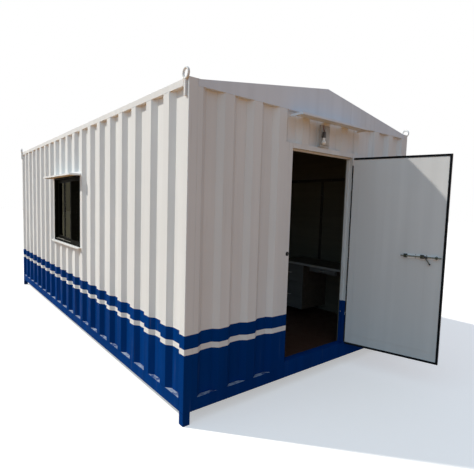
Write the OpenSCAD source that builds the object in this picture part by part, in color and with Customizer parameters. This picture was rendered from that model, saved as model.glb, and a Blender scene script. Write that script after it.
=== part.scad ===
// Portable site cabin: a welded steel frame on stub feet, corrugated steel walls, a low gable
// roof, a lined room with a desk, one hinged door and one sliding window.
// X runs across the door end, Y along the cabin, Z up from the ground.

/* [Cabin] */
// Outside width across the gable ends
cabin_w = 3048; // [2800:1:3660]
// Outside length along the side walls
cabin_l = 6096; // [5400:1:9150]
// Rise of the ridge above the eaves
ridge_rise = 225; // [150:1:400]
// Level stretch of the gable at each corner
gable_flat = 100; // [80:1:200]

/* [Frame] */
// Side of the square stub feet
foot_w = 60; // [40:1:70]
// Height of the stub feet
foot_h = 100; // [50:1:200]
// Side of the square corner posts
post_w = 75; // [66:1:100]
// Wall of the corner posts and feet
post_t = 4; // [3:0.5:8]
// Radius of the outer arris of posts and feet
post_r = 6; // [2:0.5:12]
// Height of the base channels
base_h = 100; // [85:1:150]
// Flange width of the base channels
base_d = 50; // [45:1:65]
// Web and flange thickness of the channels
channel_t = 5; // [3:0.5:8]
// Number of floor joists
joist_count = 9; // [5:1:15]
// Height of the floor joists
joist_h = 75; // [50:1:80]
// Flange width of the floor joists
joist_w = 40; // [30:1:60]
// Height of the top rails
top_h = 50; // [40:1:80]
// Depth of the top rails
top_d = 50; // [44:1:64]
// Wall of the top rails and gable panels
top_t = 3; // [2:0.5:5]

/* [Corrugated sheet] */
// Thickness of the wall and roof sheets
sheet_t = 2; // [1:0.1:3]
// Depth of the wall corrugation
rib_depth = 38; // [25:1:40]
// Width of the outer flats
rib_peak = 90; // [60:1:120]
// Width of each sloping flank
rib_flank = 50; // [30:1:60]
// Corrugations along a side wall
side_ribs = 20; // [16:1:24]
// Corrugations across an end wall
end_ribs = 10; // [8:2:12]

/* [Roof] */
// Height of the roof corrugation
roof_rib = 20; // [12:1:25]
// Width of the upper flats of the roof
roof_peak = 100; // [70:1:120]
// Corrugations along the roof
roof_ribs = 20; // [16:1:26]
// Height of the roof shelf above the lower edge of the top rail
shelf_up = 10; // [5:1:15]
// Shelf that carries the roof sheets inside each top rail
shelf_d = 50; // [45:1:70]
// Gap between the two roof sheets at the ridge
ridge_gap = 12; // [6:1:30]
// Wing width of the ridge cap
cap_wing = 150; // [90:1:250]
// Side of the square ridge beam
ridge_beam = 50; // [40:1:70]

/* [Room] */
// Thickness of the wall lining boards
lining_t = 9; // [6:1:18]
// Thickness of the floor deck
deck_t = 18; // [12:1:25]
// Thickness of the ceiling board
ceiling_t = 10; // [6:1:12]
// Drop of the ceiling below the top rail
ceiling_drop = 20; // [14:1:60]
// Width of the dark joint strips on the lining
batten_w = 40; // [25:1:60]
// Thickness of the joint strips
batten_t = 6; // [4:1:12]
// Spacing of the upright joint strips
batten_pitch = 1220; // [900:1:1300]
// Distance of the first upright joint strip from the outside of the front wall
batten_first = 1168; // [900:1:1250]
// Height of the level joint strip above the floor
batten_level = 1831; // [1500:1:1950]

/* [Door] */
// Clear width of the doorway
door_w = 896; // [750:1:980]
// Clear height of the doorway above its sill
door_h = 1950; // [1850:1:2200]
// Height of the wall over the doorway
over_door = 320; // [260:1:600]
// Height of the sill above the base rail
sill_h = 50; // [30:1:80]
// Face width of jambs and head
jamb_w = 45; // [42:1:60]
// Wall of the door frame and of the window surround
frame_t = 3; // [2:0.5:5]
// Thickness of the door leaf
leaf_t = 28; // [22:1:32]
// Thickness of the steel skins of the leaf
skin_t = 2; // [1:0.1:3]
// Gap between leaf and frame
leaf_gap = 6; // [5:0.5:8]
// Width of the rubber seal
seal_w = 20; // [15:1:35]
// Thickness of the rubber seal
seal_t = 4; // [2:0.5:6]
// Depth of the door stops
stop_d = 24; // [22:1:26]
// Width of the door stops
stop_w = 14; // [10:1:20]
// How far the door stands open
door_open = 106; // [0:1:175]

/* [Door fittings] */
// Number of hinges
hinge_count = 3; // [2:1:4]
// Height of a hinge
hinge_h = 110; // [80:1:150]
// Radius of the hinge knuckles
knuckle_r = 8; // [6:0.5:8.5]
// Radius of the hinge pins
hinge_pin_r = 4; // [3:0.5:5]
// Distance of the hinge axis from the edge of the doorway
hinge_off = 8; // [4:0.5:10]
// Thickness of the hinge flaps
flap_t = 3; // [2:0.5:4]
// Distance of the end hinges from the ends of the leaf
hinge_end = 210; // [150:1:350]
// Height of the bolt above the bottom of the leaf
bolt_up = 995; // [800:1:1150]
// Radius of the bolt rod
bolt_r = 6; // [5:0.5:7]
// Length of the bolt rod
bolt_l = 350; // [260:1:380]
// Distance of the bolt handle from the tip of the rod
handle_at = 140; // [100:1:150]
// Drop of the bolt handle
bolt_drop = 64; // [40:1:90]
// Lean of the bolt handle towards the tip of the rod
bolt_lean = 46; // [0:1:60]
// Reach of the bolt's keeper into the doorway
keeper_w = 26; // [20:1:34]
// Height of the bolt's keeper
keeper_h = 48; // [36:1:70]

/* [Window] */
// Clear width of the window opening
window_w = 1220; // [900:1:1500]
// Clear height of the window opening
window_h = 892; // [700:1:1000]
// Distance of the opening from the outside of the front wall
window_y = 2480; // [1800:1:2600]
// Height of the opening above the base rail
window_up = 902; // [800:1:1000]
// Face width of the steel surround
surround_w = 40; // [30:1:60]
// Face width of the aluminium frame
alu_w = 28; // [20:1:40]
// Setback of the aluminium frame from the outer face
alu_set = 6; // [2:1:6]
// Number of sliding sashes
sash_count = 3; // [2:1:3]
// Thickness of a sash
sash_t = 18; // [14:1:18]
// Face width of the sash bars
sash_w = 38; // [25:1:50]
// Overlap of neighbouring sashes
sash_lap = 40; // [25:1:60]
// Running gap round the sashes
sash_gap = 2; // [1:0.5:3]
// Thickness of the panes
glass_t = 5; // [3:0.5:8]

/* [Outside fittings] */
// Overhang of the door canopy past the door frame at each side
canopy_side = 5; // [0:1:60]
// Reach of the canopy over the door
canopy_out = 146; // [100:1:250]
// Drop of the door canopy below the gable panel
canopy_drop = 40; // [30:1:45]
// Reach of the canopy over the window
shade_out = 135; // [80:1:200]
// Overhang of the window canopy past the opening at the front and rear
shade_side = 38; // [20:1:80]
// Drop of the window canopy's lip below the top of the opening
shade_drop = 10; // [0:1:15]
// Turned down lip of the canopies
lip_h = 18; // [10:1:22]
// Reach of the window sill
sill_out = 35; // [20:1:60]
// Width of the lamp plate
lamp_w = 135; // [100:1:160]
// Height of the lamp plate
lamp_h = 200; // [150:1:205]
// Thickness of the lamp plate
lamp_t = 14; // [8:1:25]
// Height of the lamp holder's head above the lower edge of the plate
holder_up = 135; // [120:1:145]
// Radius of the lamp holder
holder_r = 15; // [12:1:20]
// Length of the lamp holder
holder_l = 55; // [40:1:60]
// Radius of the bulb
bulb_r = 22; // [18:1:26]
// Mean radius of the lifting eyes
eye_r = 36; // [28:1:45]
// Radius of the rod of the lifting eyes
rod_r = 9; // [6:0.5:10]
// Length of the stem that holds a lifting eye
stem_l = 120; // [80:1:200]
// Distance of a lifting eye from the end of the cabin
eye_in = 24; // [15:1:40]

/* [Desk] */
// Length of the desk
desk_l = 1310; // [1300:1:1800]
// Depth of the desk top
desk_d = 560; // [450:1:600]
// Height of the desk above the floor
desk_h = 722; // [680:1:760]
// Thickness of the desk boards
board_t = 25; // [18:1:30]
// Distance of the desk from the front lining
desk_in = 100; // [20:1:300]
// Width of the drawer case
case_w = 480; // [350:1:500]
// Depth of the drawer case
case_d = 480; // [420:1:500]
// Height of the drawer case
case_h = 600; // [350:1:640]
// Share of the case's height that the upper drawer takes
upper_share = 0.4; // [0.3:0.05:0.6]
// Thickness of the case and drawer boards
thin_t = 15; // [10:1:18]
// Height of the shallow drawer
tray_h = 55; // [40:1:80]
// Length of the shallow drawer
tray_l = 410; // [380:1:520]
// Depth of the shallow drawer
tray_d = 380; // [300:1:420]
// Distance of the shallow drawer from the near end of the desk
tray_in = 280; // [60:1:330]

/* [Hidden] */
$fn = 48;

// Paint and board colours
white_paint = [0.86, 0.87, 0.88];
blue_paint = [0.05, 0.22, 0.60];
lining_grey = [0.62, 0.62, 0.60];
floor_brown = [0.34, 0.20, 0.15];
dark_metal = [0.10, 0.10, 0.11];
steel_grey = [0.55, 0.56, 0.58];
glass_tint = [0.45, 0.50, 0.50, 0.6];
lamp_grey = [0.50, 0.49, 0.47];
bulb_white = [0.96, 0.96, 0.94];
desk_brown = [0.45, 0.33, 0.24];

// Overshoot of cutting bodies, and the seat gap under tilted sheets
cut = 1;
seat = 0.3;

// Levels, from the ground up
z_base = foot_h;
z_floor = z_base + base_h;
z_deck = z_floor + deck_t;
wall_h = sill_h + door_h + over_door;
z_top = z_floor + wall_h;
z_eave = z_top + top_h;
z_ridge = z_eave + ridge_rise;
z_ceiling = z_top - ceiling_drop;

// Walls: sheet outside, lining flush with the inside of the posts
inner = post_w + lining_t;
side_clear = cabin_l - 2 * post_w;
end_clear = cabin_w - 2 * post_w;
side_pitch = (side_clear + rib_peak) / side_ribs;
end_pitch = end_clear / end_ribs;

// Roof slope, parallel to the gable edge
roof_angle = atan2(ridge_rise, cabin_w / 2 - gable_flat);
roof_edge_gap = 5;
roof_x = post_w + roof_edge_gap;
roof_z = z_top + shelf_up;
roof_l = (cabin_w / 2 - roof_x - ridge_gap / 2) / cos(roof_angle);
roof_w = cabin_l - 2 * top_t;
roof_pitch = roof_w / roof_ribs;

// Doorway, in the middle of the front wall
door_x = (cabin_w - door_w) / 2;
z_sill = z_floor + sill_h;
z_head = z_sill + door_h;
leaf_w = door_w - 2 * leaf_gap;
leaf_h = door_h - 2 * leaf_gap;
leaf_x = door_x + leaf_gap;
z_leaf = z_sill + leaf_gap;
stop_y = leaf_t + seal_t + leaf_gap;

// Door frame, and where the last outer flat of the front wall beside it begins
frame_x = door_x - jamb_w;
frame_w = door_w + 2 * jamb_w;
z_frame = z_head + jamb_w;
flats_before = floor((frame_x - post_w + rib_peak / 2) / end_pitch);
last_flat = post_w + flats_before * end_pitch - rib_peak / 2;

// Hinge axis: beside the doorway, a knuckle's radius in front of the jamb
hinge_x = door_x + door_w + hinge_off;
hinge_y = -knuckle_r - cut;
hinge_play = 0.06;
knuckle_gap = 1;
knuckles = 3;
knuckle_span = hinge_h / knuckles;
hinge_pitch = (leaf_h - 2 * hinge_end - hinge_h) / (hinge_count - 1);
hinge_levels = [for (i = [0 : hinge_count - 1]) z_leaf + hinge_end + i * hinge_pitch];
flap_clear = max(knuckle_r, hinge_off) + leaf_gap;
flap_w = jamb_w - hinge_off - flap_clear;

// Bolt on the inner face of the leaf, drawn clear of its keeper, in line with the door stops
z_bolt = z_leaf + bolt_up;
bolt_off = seal_t + leaf_gap + stop_d / 2;
bolt_y = leaf_t + bolt_off;
bolt_clear = 8;
bolt_x = door_x + keeper_w + bolt_clear;
keeper_play = 3;
guide_w = 22;
guide_t = 4;
guide_play = 0.3;
bolt_plate_h = 40;
handle_r = 5;
keeper_gap = 10;

// Window
z_window = z_floor + window_up;
alu_d = sash_count * (sash_t + sash_gap) + sash_gap;
sash_run = window_w - 2 * alu_w;
sash_span = (sash_run + (sash_count - 1) * sash_lap) / sash_count;
sash_h = window_h - 2 * alu_w - 2 * sash_gap;

// Canopy over the door, as wide as the door frame and its overhang
canopy_w = frame_w + 2 * canopy_side;

// Lamp under the canopy, on the middle outer flat, its holder in front of the left edge of the plate
lamp_gap = 12;
lamp_edge = 9;
bulb_clear = 2;
lamp_x = (cabin_w + rib_peak) / 2 - lamp_edge - lamp_w;
z_lamp = z_top - canopy_drop - lip_h - lamp_gap - lamp_h;
holder_x = lamp_x + bulb_r;
holder_y = -lamp_t - bulb_clear - bulb_r;
z_holder = z_lamp + holder_up;
arm_h = 14;
bulb_neck_r = 11;

// Desk along the right wall, its drawers running towards the left wall
desk_x = cabin_w - inner - batten_t - desk_d;
desk_y = inner + desk_in;
z_desk = z_deck + desk_h;
z_under = z_desk - board_t;
leg_in = 60;
front_in = 10;
slide_gap = 5;
rest_gap = 0.5;
runner = 12;

// Drawer case under the far end of the desk top
case_x = desk_x + front_in + thin_t + slide_gap;
case_y = desk_y + desk_l - board_t - case_w;
z_case = z_under - case_h;
box_w = case_w - 2 * (thin_t + slide_gap);
box_d = case_d - thin_t - 2 * slide_gap;
front_w = case_w - 2 * slide_gap;
upper_h = upper_share * (case_h - slide_gap);
lower_h = case_h - upper_h - slide_gap;

// Shallow drawer under the near end of the desk top
tray_x = desk_x + front_in;
tray_y = desk_y + tray_in;

// The frame's origin: under the middle of the box round the whole cabin with its door open
door_reach = hinge_x - leaf_x;
door_far = hinge_y - door_reach * sin(door_open) + (leaf_t - hinge_y) * cos(door_open);
origin_x = (cabin_w + 2 * rod_r - shade_out) / 2;
origin_y = (cabin_l + door_far) / 2;

// Puts children, drawn from the near left corner, in the frame of the part
module placed() {
    translate([-origin_x, -origin_y, 0]) children();
}

// Copies of what stands at the left or the front, at the right or the rear
module to_right() {
    translate([cabin_w, 0, 0]) mirror([1, 0, 0]) children();
}

module to_rear() {
    translate([0, cabin_l, 0]) mirror([0, 1, 0]) children();
}

module both_sides() {
    children();
    to_right() children();
}

module both_ends() {
    children();
    to_rear() children();
}

module four_corners() {
    both_ends() both_sides() children();
}

// Swings what is drawn on the closed door to where the door stands
module on_door() {
    translate([hinge_x, hinge_y, 0])
        rotate([0, 0, door_open])
            translate([-hinge_x, -hinge_y, 0]) children();
}

// One face of a corrugated sheet: outer flats at depth 0, inner flats at the given depth
function rib_face(length, ribs, pitch, peak, flank, depth, lead) =
    concat(
        lead > 0 ? [[0, 0]] : [],
        [for (i = [0 : ribs - 1])
            let (a = lead + i * pitch, b = a + pitch - peak)
            each [[a, 0], [a + flank, depth], [b - flank, depth], [b, 0]]],
        lead > 0 ? [[length, 0]] : []
    );

function backwards(points) = [for (i = [len(points) - 1 : -1 : 0]) points[i]];

// Cross-section of a sheet: its face, and the same face one thickness deeper
function sheet_section(face, t) = concat(face, backwards([for (p = face) p + [0, t]]));

module sheet_outline(length, ribs, pitch, peak, flank, depth, lead) {
    face = rib_face(length, ribs, pitch, peak, flank, depth, lead);
    polygon(sheet_section(face, sheet_t));
}

// Whole corrugated sheet of an end wall, drawn at the front
module end_sheet() {
    translate([post_w, 0, z_floor])
        linear_extrude(wall_h)
            sheet_outline(end_clear, end_ribs, end_pitch, rib_peak, rib_flank, rib_depth, rib_peak / 2);
}

// Whole corrugated sheet of a side wall, drawn at the left
module side_sheet() {
    translate([0, post_w, z_floor])
        mirror([1, -1, 0])
            linear_extrude(wall_h)
                sheet_outline(side_clear, side_ribs, side_pitch, rib_peak, rib_flank, rib_depth, 0);
}

// Square tube section with its outer corner, at the origin, rounded
module post_section(side) {
    difference() {
        hull() {
            translate([post_r, post_r]) circle(post_r);
            translate([post_r, 0]) square([side - post_r, side]);
            translate([0, post_r]) square([side, side - post_r]);
        }
        translate([post_t, post_t]) square(side - 2 * post_t);
    }
}

// Channel along X with its web at y = 0 and its flanges towards +Y
module channel(length, depth, height, t) {
    difference() {
        cube([length, depth, height]);
        translate([-cut, t, t]) cube([length + 2 * cut, depth, height - 2 * t]);
    }
}

// Rectangular ring in the plane across X: depth along X, opening w by h
module ring_across_x(depth, w, h, bar) {
    difference() {
        translate([0, -bar, -bar]) cube([depth, w + 2 * bar, h + 2 * bar]);
        translate([-cut, 0, 0]) cube([depth + 2 * cut, w, h]);
    }
}

// Flat canopy with a lip turned down on three sides, drawn with its back edge along X
module canopy_sheet(width, reach) {
    difference() {
        translate([0, -reach, -lip_h]) cube([width, reach, lip_h + sheet_t]);
        translate([sheet_t, sheet_t - reach, -lip_h - cut])
            cube([width - 2 * sheet_t, reach, lip_h + cut]);
    }
}

// Lengths of tube, each closed by a sole plate
module stub_feet() {
    color(blue_paint)
        four_corners() {
            linear_extrude(foot_h) post_section(foot_w);
            linear_extrude(post_t) hull() post_section(foot_w);
        }
}

module base_rails() {
    color(blue_paint) {
        both_sides()
            translate([0, post_w, z_base])
                mirror([1, -1, 0]) channel(side_clear, base_d, base_h, channel_t);
        both_ends()
            translate([post_w, 0, z_base]) channel(end_clear, base_d, base_h, channel_t);
    }
}

module floor_joists() {
    joist_pitch = (cabin_l - 2 * base_d) / (joist_count + 1);
    color(blue_paint)
        for (i = [1 : joist_count])
            translate([base_d, base_d + i * joist_pitch - joist_w / 2, z_floor - joist_h])
                channel(cabin_w - 2 * base_d, joist_w, joist_h, channel_t);
}

module floor_deck() {
    color(floor_brown)
        translate([post_w, post_w, z_floor]) cube([end_clear, side_clear, deck_t]);
}

// Tubes, each closed by a plate at its head
module corner_posts() {
    color(white_paint)
        four_corners() {
            translate([0, 0, z_base]) linear_extrude(z_eave - z_base) post_section(post_w);
            translate([0, 0, z_eave - post_t]) linear_extrude(post_t) hull() post_section(post_w);
        }
}

// Square tube with a shelf inside it that carries the roof sheet
module top_side_rails() {
    color(white_paint)
        both_sides()
            translate([0, cabin_l - post_w, z_top])
                rotate([90, 0, 0])
                    linear_extrude(side_clear) {
                        difference() {
                            square([top_d, top_h]);
                            translate([top_t, top_t]) square([top_d - 2 * top_t, top_h - 2 * top_t]);
                        }
                        translate([top_d, shelf_up - top_t]) square([shelf_d, top_t]);
                    }
}

// Flat gable sheet with a flange folded in under its lower edge
module gable_panels() {
    right = cabin_w - post_w;
    color(white_paint)
        both_ends() {
            translate([0, top_t, 0])
                rotate([90, 0, 0])
                    linear_extrude(top_t)
                        polygon([
                            [post_w, z_top], [right, z_top], [right, z_eave],
                            [cabin_w - gable_flat, z_eave], [cabin_w / 2, z_ridge],
                            [gable_flat, z_eave], [post_w, z_eave]
                        ]);
            translate([post_w, 0, z_top]) cube([end_clear, top_d, top_t]);
        }
}

module ridge_beam_tube() {
    beam_top = roof_z + (cabin_w / 2 - ridge_beam / 2 - roof_x) * tan(roof_angle) - seat;
    hollow = ridge_beam - 2 * top_t;
    color(steel_grey)
        translate([(cabin_w - ridge_beam) / 2, top_t, beam_top - ridge_beam])
            difference() {
                cube([ridge_beam, roof_w, ridge_beam]);
                translate([top_t, -cut, top_t]) cube([hollow, roof_w + 2 * cut, hollow]);
            }
}

// Roof sheet of the left slope, ribs running up the slope
module roof_slope() {
    translate([roof_x, top_t, roof_z + seat])
        rotate([0, -roof_angle, 0])
            rotate([90, 0, 90])
                linear_extrude(roof_l)
                    translate([0, roof_rib + sheet_t])
                        mirror([0, 1])
                            sheet_outline(
                                roof_w, roof_ribs, roof_pitch, roof_peak, roof_rib, roof_rib, roof_peak / 2
                            );
}

module roof_sheets() {
    color(white_paint) both_sides() roof_slope();
}

// Folded strip that covers the gap between the roof sheets
module ridge_cap() {
    rise = (roof_rib + sheet_t + 2 * seat) / cos(roof_angle);
    crown = roof_z + (cabin_w / 2 - roof_x) * tan(roof_angle) + rise;
    drop = cap_wing * tan(roof_angle);
    thick = sheet_t / cos(roof_angle);
    color(white_paint)
        translate([cabin_w / 2, top_t + roof_w, crown])
            rotate([90, 0, 0])
                linear_extrude(roof_w)
                    polygon([
                        [-cap_wing, -drop], [0, 0], [cap_wing, -drop],
                        [cap_wing, thick - drop], [0, thick], [-cap_wing, thick - drop]
                    ]);
}

module ceiling_panel() {
    color(lining_grey)
        translate([post_w, post_w, z_ceiling]) cube([end_clear, side_clear, ceiling_t]);
}

module left_wall_sheet() {
    color(white_paint)
        difference() {
            side_sheet();
            translate([-cut, window_y - surround_w, z_window - surround_w])
                cube([post_w, window_w + 2 * surround_w, window_h + 2 * surround_w]);
        }
}

module right_wall_sheet() {
    color(white_paint) to_right() side_sheet();
}

module rear_wall_sheet() {
    color(white_paint) to_rear() end_sheet();
}

// The two stretches of the front wall beside the door frame, each with a flat up to the frame
// that is closed by a ledge where the corrugation goes on above it
module front_wall_sheets() {
    flat_w = frame_x - last_flat;
    flat_h = z_frame - z_floor;
    color(white_paint) {
        difference() {
            end_sheet();
            translate([frame_x, -cut, z_floor - cut]) cube([frame_w, post_w, wall_h + 2 * cut]);
            translate([last_flat + cut, -cut, z_floor - cut])
                cube([frame_w + 2 * (flat_w - cut), post_w, flat_h + cut]);
        }
        both_sides() {
            translate([last_flat, 0, z_floor]) cube([flat_w, sheet_t, flat_h]);
            translate([last_flat, 0, z_frame - sheet_t]) cube([flat_w, rib_depth + sheet_t, sheet_t]);
        }
    }
}

module front_wall_over_door() {
    color(white_paint)
        intersection() {
            end_sheet();
            translate([frame_x, -cut, z_frame]) cube([frame_w, post_w, wall_h]);
        }
}

// Lining board of a side wall, drawn at the left
module side_lining() {
    translate([post_w, post_w, z_deck]) cube([lining_t, side_clear, z_ceiling - z_deck]);
}

// Lining board of an end wall, drawn at the front, between the side linings
module end_lining() {
    translate([inner, post_w, z_deck]) cube([cabin_w - 2 * inner, lining_t, z_ceiling - z_deck]);
}

module left_lining() {
    color(lining_grey)
        difference() {
            side_lining();
            translate([0, window_y, z_window]) cube([inner + cut, window_w, window_h]);
        }
}

module right_lining() {
    color(lining_grey) to_right() side_lining();
}

module rear_lining() {
    color(lining_grey) to_rear() end_lining();
}

module front_lining() {
    color(lining_grey)
        difference() {
            end_lining();
            translate([door_x, 0, 0]) cube([door_w, inner + cut, z_eave]);
        }
}

module front_lining_over_door() {
    color(lining_grey)
        intersection() {
            end_lining();
            translate([door_x, 0, z_head]) cube([door_w, inner + cut, z_eave]);
        }
}

// Joint strips on the right lining: one level strip, and uprights every board width below it
module lining_battens() {
    last = cabin_l - inner - batten_w;
    color(dark_metal)
        translate([cabin_w - inner - batten_t, 0, 0]) {
            for (y = [batten_first : batten_pitch : last])
                translate([0, y - batten_w / 2, z_deck])
                    cube([batten_t, batten_w, batten_level + batten_w]);
            translate([0, inner, z_deck + batten_level])
                cube([batten_t, cabin_l - 2 * inner, batten_w]);
        }
}

// Folded surround: face, reveal and outer return, open towards the lining
module window_surround() {
    bar = surround_w - 2 * frame_t;
    color(white_paint)
        translate([0, window_y, z_window])
            difference() {
                ring_across_x(post_w, window_w, window_h, surround_w);
                translate([frame_t, -frame_t, -frame_t])
                    ring_across_x(post_w, window_w + 2 * frame_t, window_h + 2 * frame_t, bar);
            }
}

module window_frame() {
    color(dark_metal)
        translate([alu_set, window_y + alu_w, z_window + alu_w])
            ring_across_x(alu_d, window_w - 2 * alu_w, window_h - 2 * alu_w, alu_w);
}

// Corner of the opening of one sash, each sash in a track of its own
function sash_corner(i) = [
    alu_set + sash_gap + i * (sash_t + sash_gap),
    window_y + alu_w + i * (sash_span - sash_lap) + sash_w,
    z_window + alu_w + sash_w
];

module window_sashes() {
    color(dark_metal)
        for (i = [0 : sash_count - 1])
            translate(sash_corner(i))
                ring_across_x(sash_t, sash_span - 2 * sash_w, sash_h - 2 * sash_w, sash_w);
}

module window_glass() {
    color(glass_tint)
        for (i = [0 : sash_count - 1])
            translate(sash_corner(i) + [(sash_t - glass_t) / 2, 0, 0])
                cube([glass_t, sash_span - 2 * sash_w, sash_h - 2 * sash_w]);
}

module window_canopy() {
    color(white_paint)
        translate([0, window_y - shade_side, z_window + window_h + lip_h - shade_drop])
            mirror([1, -1, 0]) canopy_sheet(window_w + 2 * shade_side, shade_out);
}

module window_sill() {
    color(white_paint)
        translate([-sill_out, window_y - surround_w, z_window - lip_h])
            difference() {
                cube([sill_out, window_w + 2 * surround_w, lip_h]);
                translate([top_t, -cut, -top_t])
                    cube([sill_out, window_w + 2 * surround_w + 2 * cut, lip_h]);
            }
}

// Rectangular tube along Z, open at both ends
module frame_tube(w, d, length) {
    linear_extrude(length)
        difference() {
            square([w, d]);
            translate([frame_t, frame_t]) square([w - 2 * frame_t, d - 2 * frame_t]);
        }
}

module door_jambs() {
    color(white_paint)
        for (x = [frame_x, door_x + door_w])
            translate([x, 0, z_floor]) frame_tube(jamb_w, post_w, z_frame - z_floor);
}

module door_head() {
    color(white_paint)
        translate([door_x, 0, z_frame]) rotate([0, 90, 0]) frame_tube(jamb_w, post_w, door_w);
}

module door_sill() {
    color(blue_paint)
        translate([door_x, 0, z_sill])
            rotate([0, 90, 0]) frame_tube(sill_h, post_w, door_w);
}

// Stops behind the leaf: one on the hinge side, one over it, two beside the keeper
module door_stops() {
    far = door_x + door_w - stop_w;
    top = z_head - stop_w - keeper_gap;
    gap_low = z_bolt - keeper_h / 2 - keeper_gap;
    gap_high = z_bolt + keeper_h / 2 + keeper_gap;
    color(white_paint) {
        translate([far, stop_y, z_sill]) cube([stop_w, stop_d, top - z_sill]);
        translate([door_x, stop_y, z_sill]) cube([stop_w, stop_d, gap_low - z_sill]);
        translate([door_x, stop_y, gap_high]) cube([stop_w, stop_d, top - gap_high]);
        translate([door_x, stop_y, z_head - stop_w]) cube([door_w, stop_d, stop_w]);
    }
}

// Bored block on the left jamb that takes the bolt
module bolt_keeper() {
    color(steel_grey)
        difference() {
            translate([door_x, stop_y, z_bolt - keeper_h / 2]) cube([keeper_w, stop_d, keeper_h]);
            translate([door_x - cut, bolt_y, z_bolt])
                rotate([0, 90, 0]) cylinder(r = bolt_r + keeper_play, h = keeper_w + 2 * cut);
        }
}

// Fixed half of each hinge: flap on the jamb, two knuckles and the pin
module frame_hinges() {
    color(steel_grey)
        for (z = hinge_levels)
            translate([hinge_x, hinge_y, z]) {
                translate([flap_clear, -hinge_y - flap_t, 0]) cube([flap_w, flap_t, hinge_h]);
                for (low = [0, hinge_h - knuckle_span])
                    translate([0, 0, low]) {
                        cylinder(r = knuckle_r, h = knuckle_span);
                        translate([0, -hinge_y - flap_t, 0])
                            cube([flap_clear + cut, flap_t, knuckle_span]);
                    }
                cylinder(r = hinge_pin_r, h = hinge_h);
            }
}

// Moving half of each hinge: flap on the leaf and the middle knuckle
module leaf_hinges() {
    knuckle_h = knuckle_span - 2 * knuckle_gap;
    color(steel_grey)
        on_door()
            for (z = hinge_levels)
                translate([hinge_x, hinge_y, z])
                    difference() {
                        union() {
                            translate([-flap_clear - flap_w, -hinge_y - flap_t, 0])
                                cube([flap_w, flap_t, hinge_h]);
                            translate([0, 0, knuckle_span + knuckle_gap]) {
                                cylinder(r = knuckle_r, h = knuckle_h);
                                translate([-flap_clear - cut, -hinge_y - flap_t, 0])
                                    cube([flap_clear + cut, flap_t, knuckle_h]);
                            }
                        }
                        translate([0, 0, knuckle_span])
                            cylinder(r = hinge_pin_r + hinge_play, h = knuckle_span);
                    }
}

// Hollow steel leaf, open along its lower edge
module door_leaf() {
    color(white_paint)
        on_door()
            translate([leaf_x, 0, z_leaf])
                difference() {
                    cube([leaf_w, leaf_t, leaf_h]);
                    translate([skin_t, skin_t, -cut])
                        cube([leaf_w - 2 * skin_t, leaf_t - 2 * skin_t, leaf_h - skin_t + cut]);
                }
}

// Strip along the top, the free side and the bottom of the leaf
module door_seal() {
    color(dark_metal)
        on_door()
            translate([leaf_x, leaf_t, z_leaf])
                difference() {
                    cube([leaf_w, seal_t, leaf_h]);
                    translate([seal_w, -cut, seal_w])
                        cube([leaf_w, seal_t + 2 * cut, leaf_h - 2 * seal_w]);
                }
}

// Base plate of the bolt with three bored guides
module bolt_guides() {
    plate_x = bolt_x + bolt_clear + guide_w;
    plate_l = bolt_l - 2 * (bolt_clear + guide_w);
    middle_x = bolt_x + handle_at + handle_r + bolt_clear;
    guide_h = 2 * (bolt_r + guide_t);
    color(steel_grey)
        on_door()
            difference() {
                union() {
                    translate([plate_x, leaf_t, z_bolt - bolt_plate_h / 2])
                        cube([plate_l, guide_t, bolt_plate_h]);
                    for (x = [plate_x, middle_x, plate_x + plate_l - guide_w])
                        translate([x, leaf_t, z_bolt - guide_h / 2])
                            cube([guide_w, bolt_off + guide_h / 2, guide_h]);
                }
                translate([plate_x - cut, bolt_y, z_bolt])
                    rotate([0, 90, 0]) cylinder(r = bolt_r + guide_play, h = plate_l + 2 * cut);
            }
}

// Round rod with a handle that leans towards its tip
module bolt_rod() {
    color(steel_grey)
        on_door()
            translate([bolt_x, bolt_y, z_bolt]) {
                rotate([0, 90, 0]) cylinder(r = bolt_r, h = bolt_l);
                translate([handle_at, 0, 0])
                    rotate([0, atan2(-bolt_lean, -bolt_drop), 0])
                        cylinder(r = handle_r, h = norm([bolt_drop, bolt_lean]));
            }
}

module door_canopy() {
    color(white_paint)
        translate([(cabin_w - canopy_w) / 2, 0, z_top - canopy_drop])
            canopy_sheet(canopy_w, canopy_out);
}

// Plate on the wall with an arm that carries an upright lamp holder
module lamp_fitting() {
    color(lamp_grey) {
        translate([lamp_x, -lamp_t, z_lamp]) cube([lamp_w, lamp_t, lamp_h]);
        translate([holder_x - holder_r / 2, holder_y, z_holder - arm_h])
            cube([holder_r, -holder_y, arm_h]);
        translate([holder_x, holder_y, z_holder - holder_l]) cylinder(r = holder_r, h = holder_l);
    }
}

// Pear shaped bulb that hangs from the holder
module lamp_bulb() {
    neck = holder_l - bulb_neck_r;
    color(bulb_white)
        translate([holder_x, holder_y, z_holder - holder_l])
            rotate([180, 0, 0])
                rotate_extrude()
                    difference() {
                        union() {
                            square([bulb_neck_r, neck]);
                            translate([0, neck]) circle(r = bulb_r);
                        }
                        translate([-bulb_r - cut, -cut]) square([bulb_r + cut, neck + bulb_r + 2 * cut]);
                    }
}

// Round rod bent to an eye on a stem, welded to the outside of each corner post
module lifting_eyes() {
    z_eye = z_eave + eye_r - rod_r;
    color(white_paint)
        four_corners()
            difference() {
                translate([cut - rod_r, eye_in + rod_r, z_eye]) {
                    rotate([0, 90, 0]) rotate_extrude() translate([eye_r, 0]) circle(r = rod_r);
                    translate([0, 0, -eye_r - stem_l]) cylinder(r = rod_r, h = stem_l);
                }
                cube([post_w, post_w, z_eave]);
            }
}

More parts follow.
